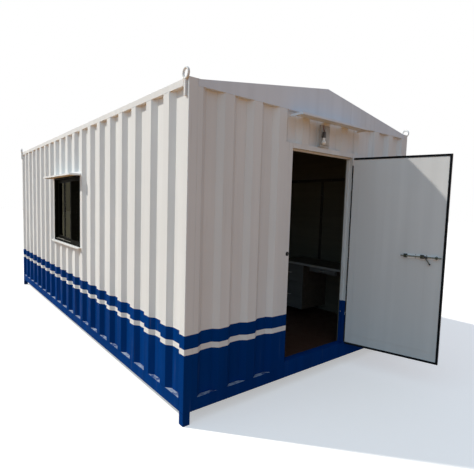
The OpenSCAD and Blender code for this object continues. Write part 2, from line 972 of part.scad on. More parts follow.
// Desk top on two end boards, with a pair of runners under it for the shallow drawer
module desk() {
    hanger_h = slide_gap + tray_h + rest_gap + runner;
    color(desk_brown) {
        translate([desk_x, desk_y, z_under]) cube([desk_d, desk_l, board_t]);
        for (y = [0, desk_l - board_t])
            translate([desk_x + leg_in, desk_y + y, z_deck]) cube([desk_d - leg_in, board_t, desk_h]);
        for (y = [tray_y, tray_y + tray_l])
            translate([tray_x + thin_t + slide_gap, y, z_under - hanger_h])
                for (box = [[runner, hanger_h], [2 * runner + slide_gap, runner]])
                    translate([0, y == tray_y ? -slide_gap - runner : slide_gap + runner - box[0], 0])
                        cube([tray_d - thin_t, box[0], box[1]]);
    }
}

// Case hung under the desk top, open at the front, with two runners for each drawer
module drawer_case() {
    color(lining_grey)
        translate([case_x, case_y, z_case]) {
            difference() {
                cube([case_d, case_w, case_h]);
                translate([-cut, thin_t, thin_t])
                    cube([case_d - thin_t + cut, case_w - 2 * thin_t, case_h]);
            }
            for (z = [0, lower_h + slide_gap])
                for (y = [thin_t, case_w - thin_t - runner])
                    translate([0, y, z + thin_t]) cube([case_d - thin_t, runner, runner]);
        }
}

// Open box with a front board that covers the face of the case
module case_drawer(front_h) {
    box_h = front_h - 2 * thin_t - 2 * runner;
    color(lining_grey) {
        translate([-slide_gap - thin_t, slide_gap, 0]) cube([thin_t, front_w, front_h]);
        translate([-slide_gap, thin_t + slide_gap, thin_t + runner + rest_gap])
            difference() {
                cube([box_d, box_w, box_h]);
                translate([-cut, thin_t, thin_t])
                    cube([box_d - thin_t + cut, box_w - 2 * thin_t, box_h]);
            }
    }
}

module upper_drawer() {
    translate([case_x, case_y, z_case + lower_h + slide_gap]) case_drawer(upper_h - slide_gap);
}

module lower_drawer() {
    translate([case_x, case_y, z_case]) case_drawer(lower_h);
}

// Open tray that runs between the hangers under the desk top
module desk_tray() {
    color(lining_grey)
        translate([tray_x, tray_y, z_under - slide_gap - tray_h])
            difference() {
                cube([tray_d, tray_l, tray_h]);
                translate([thin_t, thin_t, thin_t])
                    cube([tray_d - 2 * thin_t, tray_l - 2 * thin_t, tray_h]);
            }
}

placed() stub_feet();
placed() base_rails();
placed() floor_joists();
placed() floor_deck();
placed() corner_posts();
placed() top_side_rails();
placed() gable_panels();
placed() ridge_beam_tube();
placed() roof_sheets();
placed() ridge_cap();
placed() ceiling_panel();
placed() left_wall_sheet();
placed() right_wall_sheet();
placed() rear_wall_sheet();
placed() front_wall_sheets();
placed() front_wall_over_door();
placed() left_lining();
placed() right_lining();
placed() rear_lining();
placed() front_lining();
placed() front_lining_over_door();
placed() lining_battens();
placed() window_surround();
placed() window_frame();
placed() window_sashes();
placed() window_glass();
placed() window_canopy();
placed() window_sill();
placed() door_jambs();
placed() door_head();
placed() door_sill();
placed() door_stops();
placed() bolt_keeper();
placed() frame_hinges();
placed() door_leaf();
placed() door_seal();
placed() leaf_hinges();
placed() bolt_guides();
placed() bolt_rod();
placed() door_canopy();
placed() lamp_fitting();
placed() lamp_bulb();
placed() lifting_eyes();
placed() desk();
placed() drawer_case();
placed() upper_drawer();
placed() lower_drawer();
placed() desk_tray();
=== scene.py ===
"""Looks of a portable site cabin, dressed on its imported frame.

Painted corrugated steel with blue bands, a sliding window, a steel door on butt hinges, a wall lamp
under a folded canopy, and a lined room with a desk. Finishes and studio are in metres, and the
sub-assemblies in millimetres on the maker's plan.
"""

import logging
import math
from dataclasses import dataclass
from enum import Enum
from typing import Iterable, Mapping, Optional, Sequence, Union

import bmesh
import bpy
from mathutils import Matrix, Vector


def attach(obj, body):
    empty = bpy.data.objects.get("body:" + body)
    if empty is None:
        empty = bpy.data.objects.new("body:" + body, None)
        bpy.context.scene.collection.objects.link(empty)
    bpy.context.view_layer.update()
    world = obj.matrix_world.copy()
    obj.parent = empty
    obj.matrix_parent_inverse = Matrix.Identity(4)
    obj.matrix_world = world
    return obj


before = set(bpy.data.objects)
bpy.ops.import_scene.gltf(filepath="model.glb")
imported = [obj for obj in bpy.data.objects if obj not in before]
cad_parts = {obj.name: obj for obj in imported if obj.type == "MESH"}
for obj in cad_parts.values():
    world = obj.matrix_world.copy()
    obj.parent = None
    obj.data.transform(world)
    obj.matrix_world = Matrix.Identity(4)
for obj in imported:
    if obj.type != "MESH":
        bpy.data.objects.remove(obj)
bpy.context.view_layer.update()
LOG = logging.getLogger("cabin")

Node = bpy.types.Node
Socket = bpy.types.NodeSocket
Sockets = Mapping[str, Socket]
Material = bpy.types.Material
Value = Union[float, Sequence[float], Socket]
Colour = Sequence[float]
Point = Union[Vector, Sequence[float]]
Route = Sequence[Point]
Spot = Sequence[Point]

MILLIMETRE = 0.001
FACING = "facing"
FULL_WHITE = (1.0, 1.0, 1.0, 1.0)
LEFT, FRONT, BACK = Vector((-1, 0, 0)), Vector((0, -1, 0)), Vector((0, 1, 0))


class Body(str, Enum):
    """Groups of pieces that move together."""

    CABIN = "cabin"
    DOOR = "door"
    BOLT = "bolt"
    UPPER_DRAWER = "upper_drawer"
    LOWER_DRAWER = "lower_drawer"
    TRAY = "desk_tray"


class Slot(str, Enum):
    """Names of the record's material slots."""

    WHITE = "white_paint"
    ALUMINIUM = "dark_aluminium"
    RUBBER = "seal_rubber"
    STEEL = "fitting_steel"
    LAMP = "lamp_plastic"
    DESK = "desk_board"


class Bands(Enum):
    """Where an enamelled piece shows the blue coat."""

    NOWHERE = 0
    BY_HEIGHT = 1
    EVERYWHERE = 2
    OUTER_SKIN = 3
    OUTER_STRIP = 4


# Shader graphs


class Graph:
    """Places and links the nodes of one tree."""

    def __init__(self, tree: bpy.types.NodeTree) -> None:
        """Keeps the tree that the nodes go into."""
        self.tree = tree

    def add(self, kind: str, inputs: Optional[dict] = None, **settings: object) -> Node:
        """Places one node.

        Args:
            kind: The node's type name.
            inputs: What its input sockets get, by name or number.
            settings: Properties to set on it.

        Returns:
            The new node.
        """
        node = self.tree.nodes.new(kind)
        for key, value in settings.items():
            setattr(node, key, value)
        for key, value in (inputs or {}).items():
            self.feed(node.inputs[key], value)
        return node

    def feed(self, socket: Socket, value: Value) -> None:
        """Links an output to a socket, or sets the socket's own value.

        Args:
            socket: The input to feed.
            value: An output socket, a number, a colour or a vector.
        """
        if isinstance(value, Socket):
            self.tree.links.new(value, socket)
        else:
            socket.default_value = value

    def math(self, operation: str, first: Value, second: Value, clamp: bool = False) -> Socket:
        """Adds a Math node, with its result held between 0 and 1 if clamp says so."""
        operands = {0: first, 1: second}
        return self.add("ShaderNodeMath", operands, operation=operation, use_clamp=clamp).outputs[0]

    def times(self, first: Value, second: Value) -> Socket:
        """Multiplies two values."""
        return self.math("MULTIPLY", first, second)

    def mix(self, factor: Value, first: Value, second: Value) -> Socket:
        """Mixes two colours, with factor as the share of the second."""
        return self.add("ShaderNodeMix", {0: factor, 6: first, 7: second}, data_type="RGBA").outputs[2]

    def ramp(
        self, value: Value, low: float, high: float, start: float = 0.0, end: float = 1.0,
    ) -> Socket:
        """Maps low and high smoothly to start and end, and holds the value between them."""
        values = dict(enumerate((value, low, high, start, end)))
        return self.add("ShaderNodeMapRange", values, interpolation_type="SMOOTHSTEP").outputs[0]

    def stretch(self, vector: Socket, by: Sequence[float]) -> Socket:
        """Multiplies a vector by a constant one."""
        return self.add("ShaderNodeVectorMath", {0: vector, 1: by}, operation="MULTIPLY").outputs[0]

    def scale(self, vector: Socket, factor: Socket) -> Socket:
        """Multiplies a vector by a number."""
        values = {0: vector, "Scale": factor}
        return self.add("ShaderNodeVectorMath", values, operation="SCALE").outputs[0]

    def dot(self, vector: Socket, way: Sequence[float]) -> Socket:
        """Gives how far a vector reaches along a constant direction."""
        node = self.add("ShaderNodeVectorMath", {0: vector, 1: way}, operation="DOT_PRODUCT")
        return node.outputs["Value"]

    def noise(self, vector: Socket, scale: float, detail: float = 3.0, rough: float = 0.55) -> Socket:
        """Adds a noise pattern of values about one half, with scale lumps to the metre."""
        values = {"Vector": vector, "Scale": scale, "Detail": detail, "Roughness": rough}
        return self.add("ShaderNodeTexNoise", values).outputs["Fac"]

    def parts(self, vector: Socket) -> Sequence[Socket]:
        """Splits a vector into its three components."""
        return self.add("ShaderNodeSeparateXYZ", {0: vector}).outputs

    def vector(self, x: Value, y: Value, z: Value) -> Socket:
        """Joins three components to a vector."""
        return self.add("ShaderNodeCombineXYZ", {0: x, 1: y, 2: z}).outputs[0]


class Effect:
    """A shader effect that several finishes share, kept as one node group."""

    name = "effect"
    inputs: Sequence[tuple] = ()
    outputs: Sequence[str] = ()

    def draw(self, graph: Graph, given: Sockets) -> dict:
        """Draws the inside of the group and gives what its outputs get, by name."""
        raise NotImplementedError

    def tree(self) -> bpy.types.NodeTree:
        """Gives the group's tree, drawn at its first use.

        Returns:
            The tree.
        """
        found = bpy.data.node_groups.get(self.name)
        if found:
            return found
        tree = bpy.data.node_groups.new(self.name, "ShaderNodeTree")
        tree.interface.new_socket("Vector", in_out="INPUT", socket_type="NodeSocketVector")
        for label, default in self.inputs:
            socket = tree.interface.new_socket(label, in_out="INPUT", socket_type="NodeSocketFloat")
            socket.default_value = default
        for label in self.outputs:
            tree.interface.new_socket(label, in_out="OUTPUT", socket_type="NodeSocketFloat")
        graph = Graph(tree)
        graph.add("NodeGroupOutput", self.draw(graph, graph.add("NodeGroupInput").outputs))
        return tree

    def place(self, graph: Graph, vector: Socket, **values: float) -> Sockets:
        """Puts the group into a material.

        Args:
            graph: Graph of the material.
            vector: Coordinates that the effect reads.
            values: Settings by input name, with _ for a space.

        Returns:
            The group's outputs by name.
        """
        settings = {key.replace("_", " ").title(): value for key, value in values.items()}
        inputs = {"Vector": vector, **settings}
        return graph.add("ShaderNodeGroup", inputs, node_tree=self.tree()).outputs


class PaintBands(Effect):
    """Masks of the blue coat: with a white strip between two lines, and plain up to the upper line."""

    name = "paint_bands"
    outputs = ("Blue", "Plain")
    lower, strip_top, band_top = 0.551, 0.597, 0.703
    waver = 0.0015

    def draw(self, graph: Graph, given: Sockets) -> dict:
        """Draws two steps in height with hand masked edges.

        Args:
            graph: Graph of the group's tree.
            given: The group's inputs by name.

        Returns:
            What the group's outputs get, by name.
        """
        vector = given["Vector"]
        hand = graph.noise(vector, scale=9.0, detail=2.0)
        wobble = graph.ramp(hand, 0.3, 0.7, -self.waver, self.waver)
        height = graph.math("ADD", graph.parts(vector)[2], wobble)
        below = graph.math("LESS_THAN", height, self.lower)
        over = graph.math("GREATER_THAN", height, self.strip_top)
        under = graph.math("LESS_THAN", height, self.band_top)
        band = graph.times(over, under)
        return {"Blue": graph.math("ADD", below, band, clamp=True), "Plain": under}


class Weathering(Effect):
    """Masks of rain streaks, splash, colour drift, and pale dust with a painted sheen on ledges, and
    the height of the paint's skin.
    """

    name = "weathering"
    inputs = (("Streaks", 1.0), ("Splash Height", 0.42))
    outputs = ("Streak", "Splash", "Drift", "DustAndPaintedSheen", "Skin")
    upright_runs, spray_passes = (26.0, 26.0, 0.9), (8.0, 8.0, 0.3)
    raggedness = 0.22
    peel_share = 0.06

    def draw(self, graph: Graph, given: Sockets) -> dict:
        """Draws upright streaks, a ragged splash line, spray passes, pale dust with a painted sheen on
        up-facing ledges, and an orange peel.

        Args:
            graph: Graph of the group's tree.
            given: The group's inputs by name.

        Returns:
            What the group's outputs get, by name.
        """
        vector = given["Vector"]
        runs = graph.noise(graph.stretch(vector, self.upright_runs), scale=1.0, detail=4.0, rough=0.6)
        patches = graph.ramp(graph.noise(vector, scale=1.7, detail=2.0), 0.42, 0.68)
        streak = graph.times(graph.ramp(runs, 0.56, 0.78), patches)
        line = graph.noise(vector, scale=7.0, detail=5.0, rough=0.65)
        ragged = graph.ramp(line, 0.2, 0.8, -self.raggedness, self.raggedness)
        height = graph.math("ADD", graph.parts(vector)[2], ragged)
        depth = graph.math("DIVIDE", height, given["Splash Height"])
        passes = graph.noise(graph.stretch(vector, self.spray_passes), scale=1.0, detail=2.0)
        drift = graph.math("ADD", graph.noise(vector, scale=0.9), passes)
        upward = graph.parts(graph.add("ShaderNodeNewGeometry").outputs["Normal"])[2]
        patchy = graph.ramp(graph.noise(vector, scale=16.0, detail=4.0, rough=0.65), 0.3, 0.6)
        peel = graph.times(graph.noise(vector, scale=260.0, detail=2.0), self.peel_share)
        waves = graph.noise(vector, scale=2.6, detail=1.0)
        return {
            "Streak": graph.times(streak, given["Streaks"]),
            "Splash": graph.math("SUBTRACT", 1.0, depth, clamp=True),
            "Drift": graph.ramp(drift, 0.78, 1.22),
            # Pale dust on up-facing ledges, partly a painted sheen of sky and sun.
            "DustAndPaintedSheen": graph.times(graph.ramp(upward, 0.6, 0.9), patchy),
            "Skin": graph.math("ADD", peel, waves),
        }


class BoardGrain(Effect):
    """Long fibres of a board or its printed laminate, running along one axis."""

    name = "board_grain"
    inputs = (("Fineness", 1.0),)
    outputs = ("Fibre", "Pore")
    fibres = (34.0, 1.6, 34.0)

    def draw(self, graph: Graph, given: Sockets) -> dict:
        """Draws stretched noise for fibres and a finer one for pores.

        Args:
            graph: Graph of the group's tree.
            given: The group's inputs by name.

        Returns:
            What the group's outputs get, by name.
        """
        along = graph.stretch(given["Vector"], self.fibres)
        vector = graph.scale(along, given["Fineness"])
        fibre = graph.noise(vector, scale=1.0, detail=5.0, rough=0.6)
        pore = graph.noise(vector, scale=6.0, detail=2.0)
        return {"Fibre": graph.ramp(fibre, 0.3, 0.7), "Pore": graph.ramp(pore, 0.62, 0.8)}


class Scuffs(Effect):
    """Handling marks: fine scratches in two directions and dull smudges."""

    name = "scuffs"
    inputs = (("Scale", 1.0),)
    outputs = ("Scratch", "Smudge")
    upright, level = (300.0, 300.0, 6.0), (8.0, 8.0, 420.0)

    def draw(self, graph: Graph, given: Sockets) -> dict:
        """Draws thin stretched noise for scratches and soft blots for smudges.

        Args:
            graph: Graph of the group's tree.
            given: The group's inputs by name.

        Returns:
            What the group's outputs get, by name.
        """
        vector = graph.scale(given["Vector"], given["Scale"])
        up = graph.noise(graph.stretch(vector, self.upright), scale=1.0, detail=2.0)
        along = graph.noise(graph.stretch(vector, self.level), scale=1.0, detail=2.0)
        marks = graph.math("MAXIMUM", graph.ramp(up, 0.66, 0.72), graph.ramp(along, 0.67, 0.73))
        gate = graph.ramp(graph.noise(vector, scale=5.0, detail=2.0), 0.5, 0.62)
        blots = graph.noise(vector, scale=11.0, detail=4.0)
        return {"Scratch": graph.times(marks, gate), "Smudge": graph.ramp(blots, 0.45, 0.75)}


BANDS, WEATHER, GRAIN, SCUFFS = PaintBands(), Weathering(), BoardGrain(), Scuffs()


# Finishes


def opaque(colour: Colour, tone: float = 1.0) -> tuple:
    """Adds a full alpha to a colour, made lighter or darker by a factor."""
    return (*(c * tone for c in colour), 1.0)


class Surface:
    """A new material with its Principled shader, and the graph that feeds it."""

    def __init__(self, name: str) -> None:
        """Makes the material.

        Args:
            name: Name of the finish.
        """
        self.material = bpy.data.materials.new(name)
        self.material.use_nodes = True
        self.graph = Graph(self.material.node_tree)
        nodes = self.material.node_tree.nodes
        self.shader = next(n for n in nodes if n.type == "BSDF_PRINCIPLED")
        self.place = self.graph.add("ShaderNodeTexCoord").outputs["Object"]

    def set(self, **values: Value) -> None:
        """Feeds the shader's sockets.

        Args:
            values: Values by socket name, with _ for a space.
        """
        for key, value in values.items():
            label = {"specular": "Specular IOR Level"}.get(key, key.replace("_", " ").title())
            label = label.replace("Ior", "IOR")
            self.graph.feed(self.shader.inputs[label], value)

    def relief(self, height: Socket, depth: float, round_off: float = 0.0) -> None:
        """Gives the surface a relief, and softens its arrises.

        Args:
            height: Height pattern.
            depth: Metres that a height of 1 stands for.
            round_off: Radius that sharp edges seem to have.
        """
        bump = self.graph.add("ShaderNodeBump", {"Height": height, "Strength": 1.0, "Distance": depth})
        if round_off:
            edge = self.graph.add("ShaderNodeBevel", {"Radius": round_off}, samples=4)
            self.graph.feed(bump.inputs["Normal"], edge.outputs[0])
        self.graph.feed(self.shader.inputs["Normal"], bump.outputs[0])


@dataclass(frozen=True)
class Finish:
    """A finish that makes its own material.

    Attributes:
        name: Name of the finish.
    """

    name: str

    def make(self) -> Material:
        """Builds the material.

        Returns:
            The material.
        """
        surface = Surface(self.name)
        self.coat(surface, surface.graph)
        return surface.material

    def coat(self, surface: Surface, graph: Graph) -> None:
        """Draws the finish on a new surface."""
        raise NotImplementedError


@dataclass(frozen=True)
class Enamel(Finish):
    """Sprayed enamel on steel sheet and tube.

    Attributes:
        bands: Where the blue coat shows.
        white: The pale coat.
        blue: The blue coat.
        gloss: Roughness of the clean coat.
        streaks: Weight of the rain streaks.
        dust: Weight of the pale dust on ledges, partly a painted sheen of sky and sun.
        round_off: Radius that sharp edges seem to have.
        skin_normal: Direction that the outer face looks, for a skin that differs from the rest.
        skin_level: How far along that direction this skin starts.
    """

    bands: Bands
    white: Colour = (0.81, 0.81, 0.80)
    blue: Colour = (0.0008, 0.034, 0.168)
    gloss: float = 0.4
    streaks: float = 0.35
    dust: float = 0.0
    round_off: float = 0.003
    skin_normal: Point = (0.0, -1.0, 0.0)
    skin_level: float = 0.0

    specular = 0.003
    skin_depth = 0.0022
    white_drift, blue_drift, drift_dulls = 0.93, 1.22, 0.08
    grime, grime_share = (0.34, 0.31, 0.26), 0.5
    mud, mud_share, mud_dulls = (0.05, 0.06, 0.09), 0.04, 0.3
    # Pale bluish white on ledges: dust, partly a painted sheen of sky and sun.
    dust_and_sheen_colour = (0.56, 0.61, 0.66)

    def blue_share(self, surface: Surface) -> Value:
        """Gives the share of blue over the surface.

        Args:
            surface: The surface to paint.

        Returns:
            A share from 0 to 1.
        """
        graph = surface.graph
        if self.bands is Bands.NOWHERE:
            return 0.0
        if self.bands is Bands.EVERYWHERE:
            return 1.0
        paint = BANDS.place(graph, surface.place)
        if self.bands is Bands.BY_HEIGHT:
            return paint["Blue"]
        along = graph.dot(surface.place, self.skin_normal)
        if self.bands is Bands.OUTER_SKIN:
            outside = graph.math("GREATER_THAN", along, self.skin_level)
            return graph.times(paint["Blue"], outside)
        inside = graph.math("LESS_THAN", along, self.skin_level)
        plain = graph.times(paint["Plain"], inside)
        return graph.math("MAXIMUM", paint["Blue"], plain)

    def coat(self, surface: Surface, graph: Graph) -> None:
        """Mixes the two coats and lays streaks, splashes, and dust with a painted sheen on ledges over
        them.

        Args:
            surface: The new surface.
            graph: Its graph.
        """
        worn = WEATHER.place(graph, surface.place, streaks=self.streaks)
        drift = worn["Drift"]
        white = graph.mix(drift, opaque(self.white), opaque(self.white, self.white_drift))
        blue = graph.mix(drift, opaque(self.blue), opaque(self.blue, self.blue_drift))
        coat = graph.mix(self.blue_share(surface), white, blue)
        for mask, share, colour in (
            ("Streak", self.grime_share, self.grime),
            ("Splash", self.mud_share, self.mud),
            ("DustAndPaintedSheen", self.dust, self.dust_and_sheen_colour),
        ):
            coat = graph.mix(graph.times(worn[mask], share), coat, opaque(colour))
        dull = graph.math("ADD", self.gloss, graph.times(drift, self.drift_dulls))
        muddy = graph.times(worn["Splash"], self.mud_dulls)
        dull = graph.math("ADD", dull, muddy, clamp=True)
        surface.set(base_color=coat, roughness=dull, specular=self.specular)
        surface.relief(worn["Skin"], self.skin_depth, self.round_off)


@dataclass(frozen=True)
class Board(Finish):
    """Laminated or bare board with fibres.

    Attributes:
        light: Colour between the fibres.
        dark: Colour of the fibres.
        rough: Roughness.
        fineness: Fineness of the fibres.
        relief: Depth of the fibres.
    """

    light: Colour
    dark: Colour
    rough: float = 0.45
    fineness: float = 1.0
    relief: float = 0.0002

    pore_share, pore_tone = 0.35, 0.5
    smudge_dulls = 0.18

    def coat(self, surface: Surface, graph: Graph) -> None:
        """Prints the fibres and pores, and dulls the board where it is handled.

        Args:
            surface: The new surface.
            graph: Its graph.
        """
        grain = GRAIN.place(graph, surface.place, fineness=self.fineness)
        smudge = SCUFFS.place(graph, surface.place)["Smudge"]
        colour = graph.mix(grain["Fibre"], opaque(self.dark), opaque(self.light))
        pores = graph.times(grain["Pore"], self.pore_share)
        colour = graph.mix(pores, colour, opaque(self.dark, self.pore_tone))
        rough = graph.ramp(smudge, 0.0, 1.0, self.rough, self.rough + self.smudge_dulls)
        surface.set(base_color=colour, roughness=rough)
        surface.relief(grain["Fibre"], self.relief)


@dataclass(frozen=True)
class Metal(Finish):
    """Bare, plated or anodised metal with handling marks.

    Attributes:
        colour: Colour of the metal.
        rough: Roughness of the clean metal.
        scale: Size factor of the marks.
        metallic: How much it is bare metal.
        specular: Strength of the mirror image where it isn't bare.
        painted: Normal and level of a plane whose far side is painted pale, where there is one.
    """

    colour: Colour
    rough: float = 0.35
    scale: float = 1.0
    metallic: float = 1.0
    specular: float = 0.5
    painted: Optional[tuple] = None

    paint = (0.78, 0.785, 0.775)
    smudge_share, smudge_tone, smudge_dulls = 0.35, 0.62, 0.2
    scratch_share, scratch_tone, scratch_lift, scratch_depth = 0.5, 1.6, 0.05, -0.00006
    round_off = 0.0008

    def coat(self, surface: Surface, graph: Graph) -> None:
        """Marks the metal with smudges and scratches, and paints its far side.

        Args:
            surface: The new surface.
            graph: Its graph.
        """
        marks = SCUFFS.place(graph, surface.place, scale=self.scale)
        smudge, scratch = marks["Smudge"], marks["Scratch"]
        smudged = graph.times(smudge, self.smudge_share)
        colour = graph.mix(smudged, opaque(self.colour), opaque(self.colour, self.smudge_tone))
        bright = [min(1.0, c * self.scratch_tone + self.scratch_lift) for c in self.colour]
        colour = graph.mix(graph.times(scratch, self.scratch_share), colour, opaque(bright))
        rough = graph.ramp(smudge, 0.0, 1.0, self.rough, self.rough + self.smudge_dulls)
        bare = self.metallic
        if self.painted:
            normal, level = self.painted
            painted = graph.math("GREATER_THAN", graph.dot(surface.place, normal), level)
            colour = graph.mix(painted, colour, opaque(self.paint))
            bare = graph.math("SUBTRACT", self.metallic, painted, clamp=True)
        surface.set(base_color=colour, roughness=rough, metallic=bare, specular=self.specular)
        surface.relief(scratch, self.scratch_depth, self.round_off)


@dataclass(frozen=True)
class Rubber(Finish):
    """Matt black rubber with a bloom of dust.

    Attributes:
        colour: Colour of the clean rubber.
        bloom: Colour of the bloom.
        bloom_share: Weight of the bloom.
    """

    colour: Colour = (0.005, 0.006, 0.008)
    bloom: Colour = (0.03, 0.03, 0.03)
    bloom_share: float = 0.2

    def coat(self, surface: Surface, graph: Graph) -> None:
        """Lays the bloom over the rubber.

        Args:
            surface: The new surface.
            graph: Its graph.
        """
        smudge = SCUFFS.place(graph, surface.place, scale=2.0)["Smudge"]
        bloom = graph.times(smudge, self.bloom_share)
        surface.set(
            base_color=graph.mix(bloom, opaque(self.colour), opaque(self.bloom)),
            roughness=graph.ramp(smudge, 0.0, 1.0, 0.55, 0.8),
            specular=0.05,
        )
        surface.relief(smudge, depth=0.0002, round_off=0.001)


@dataclass(frozen=True)
class Plastic(Finish):
    """Moulded plastic with a fine spark texture and some yellowing.

    Attributes:
        colour: Colour of the new plastic.
        aged: Colour where it has yellowed.
        rough: Roughness.
    """

    colour: Colour
    aged: Colour
    rough: float = 0.5

    def coat(self, surface: Surface, graph: Graph) -> None:
        """Gives the plastic its spark texture and its yellowing.

        Args:
            surface: The new surface.
            graph: Its graph.
        """
        spark = graph.noise(surface.place, scale=900.0, detail=2.0)
        age = graph.ramp(graph.noise(surface.place, scale=14.0), 0.35, 0.7)
        surface.set(
            base_color=graph.mix(age, opaque(self.colour), opaque(self.aged)),
            roughness=graph.ramp(spark, 0.3, 0.7, self.rough - 0.06, self.rough + 0.08),
        )
        surface.relief(spark, depth=0.0001, round_off=0.0012)


@dataclass(frozen=True)
class Pane(Finish):
    """Tinted float glass with dust on it, and a painted warm tint on its mirror image.

    Attributes:
        tint: Colour of the glass.
        dust: Colour of the dust.
        dust_share: Weight of the dust where it is thickest.
        painted_reflection_tint: Painted warm tint over the glass and its mirror image, for the warm
            surroundings that the panes reflect.
        ior: Index of refraction.
    """

    tint: Colour = (0.20, 0.195, 0.14)
    dust: Colour = (0.36, 0.35, 0.31)
    dust_share: float = 0.2
    painted_reflection_tint: Colour = (1.0, 0.985, 0.91)
    ior: float = 1.05

    def coat(self, surface: Surface, graph: Graph) -> None:
        """Tints the glass, lays the dust on it, and gives its mirror image a painted warm tint.

        Args:
            surface: The new surface.
            graph: Its graph.
        """
        dust = graph.ramp(graph.noise(surface.place, scale=3.2, detail=5.0, rough=0.65), 0.45, 0.8)
        dusty = graph.times(dust, self.dust_share)
        surface.set(
            base_color=graph.mix(dusty, opaque(self.tint), opaque(self.dust)),
            roughness=graph.ramp(dust, 0.0, 1.0, 0.02, 0.09),
            transmission_weight=1.0,
            ior=self.ior,
            coat_weight=1.0,
            coat_ior=1.0,
            # Painted warm tint on the mirror image, for the warm surroundings.
            coat_tint=opaque(self.painted_reflection_tint),
        )


@dataclass(frozen=True)
class OpalGlass(Finish):
    """White glass of a lamp bulb.

    Attributes:
        clear: Colour of the clean glass.
        cloudy: Colour of its clouds.
    """

    clear: Colour = (0.86, 0.86, 0.84)
    cloudy: Colour = (0.78, 0.77, 0.73)

    def coat(self, surface: Surface, graph: Graph) -> None:
        """Clouds the glass.

        Args:
            surface: The new surface.
            graph: Its graph.
        """
        cloud = graph.ramp(graph.noise(surface.place, scale=40.0), 0.3, 0.7)
        surface.set(
            base_color=graph.mix(cloud, opaque(self.clear), opaque(self.cloudy)),
            roughness=graph.ramp(cloud, 0.0, 1.0, 0.12, 0.2),
            subsurface_weight=0.15,
            subsurface_radius=(0.01, 0.01, 0.01),
        )


@dataclass(frozen=True)
class FloorSheet(Finish):
    """Printed vinyl over the floor boards, with joints where the boards meet.

    Attributes:
        light: Lighter colour of the print.
        dark: Darker colour of the print.
        joint: Distance between the joints.
        joint_half: Half of a joint's width.
        joint_colour: Colour of the joints.
        dust: Colour of the dust.
        dust_share: Weight of the dust.
    """

    light: Colour = (0.080, 0.036, 0.022)
    dark: Colour = (0.045, 0.019, 0.012)
    joint: float = 1.22
    joint_half: float = 0.003
    joint_colour: Colour = (0.03, 0.02, 0.015)
    dust: Colour = (0.22, 0.18, 0.14)
    dust_share: float = 0.12

    def coat(self, surface: Surface, graph: Graph) -> None:
        """Prints the flecks, and draws the joints and the dust.

        Args:
            surface: The new surface.
            graph: Its graph.
        """
        smudge = SCUFFS.place(graph, surface.place)["Smudge"]
        fleck = graph.ramp(graph.noise(surface.place, scale=120.0, detail=4.0, rough=0.7), 0.35, 0.65)
        colour = graph.mix(fleck, opaque(self.dark), opaque(self.light))
        along = graph.math("PINGPONG", graph.parts(surface.place)[1], self.joint)
        line = graph.math("LESS_THAN", along, self.joint_half)
        colour = graph.mix(line, colour, opaque(self.joint_colour))
        dusty = graph.times(smudge, self.dust_share)
        colour = graph.mix(dusty, colour, opaque(self.dust))
        surface.set(base_color=colour, roughness=graph.ramp(smudge, 0.0, 1.0, 0.35, 0.6))
        surface.relief(fleck, depth=0.0002)


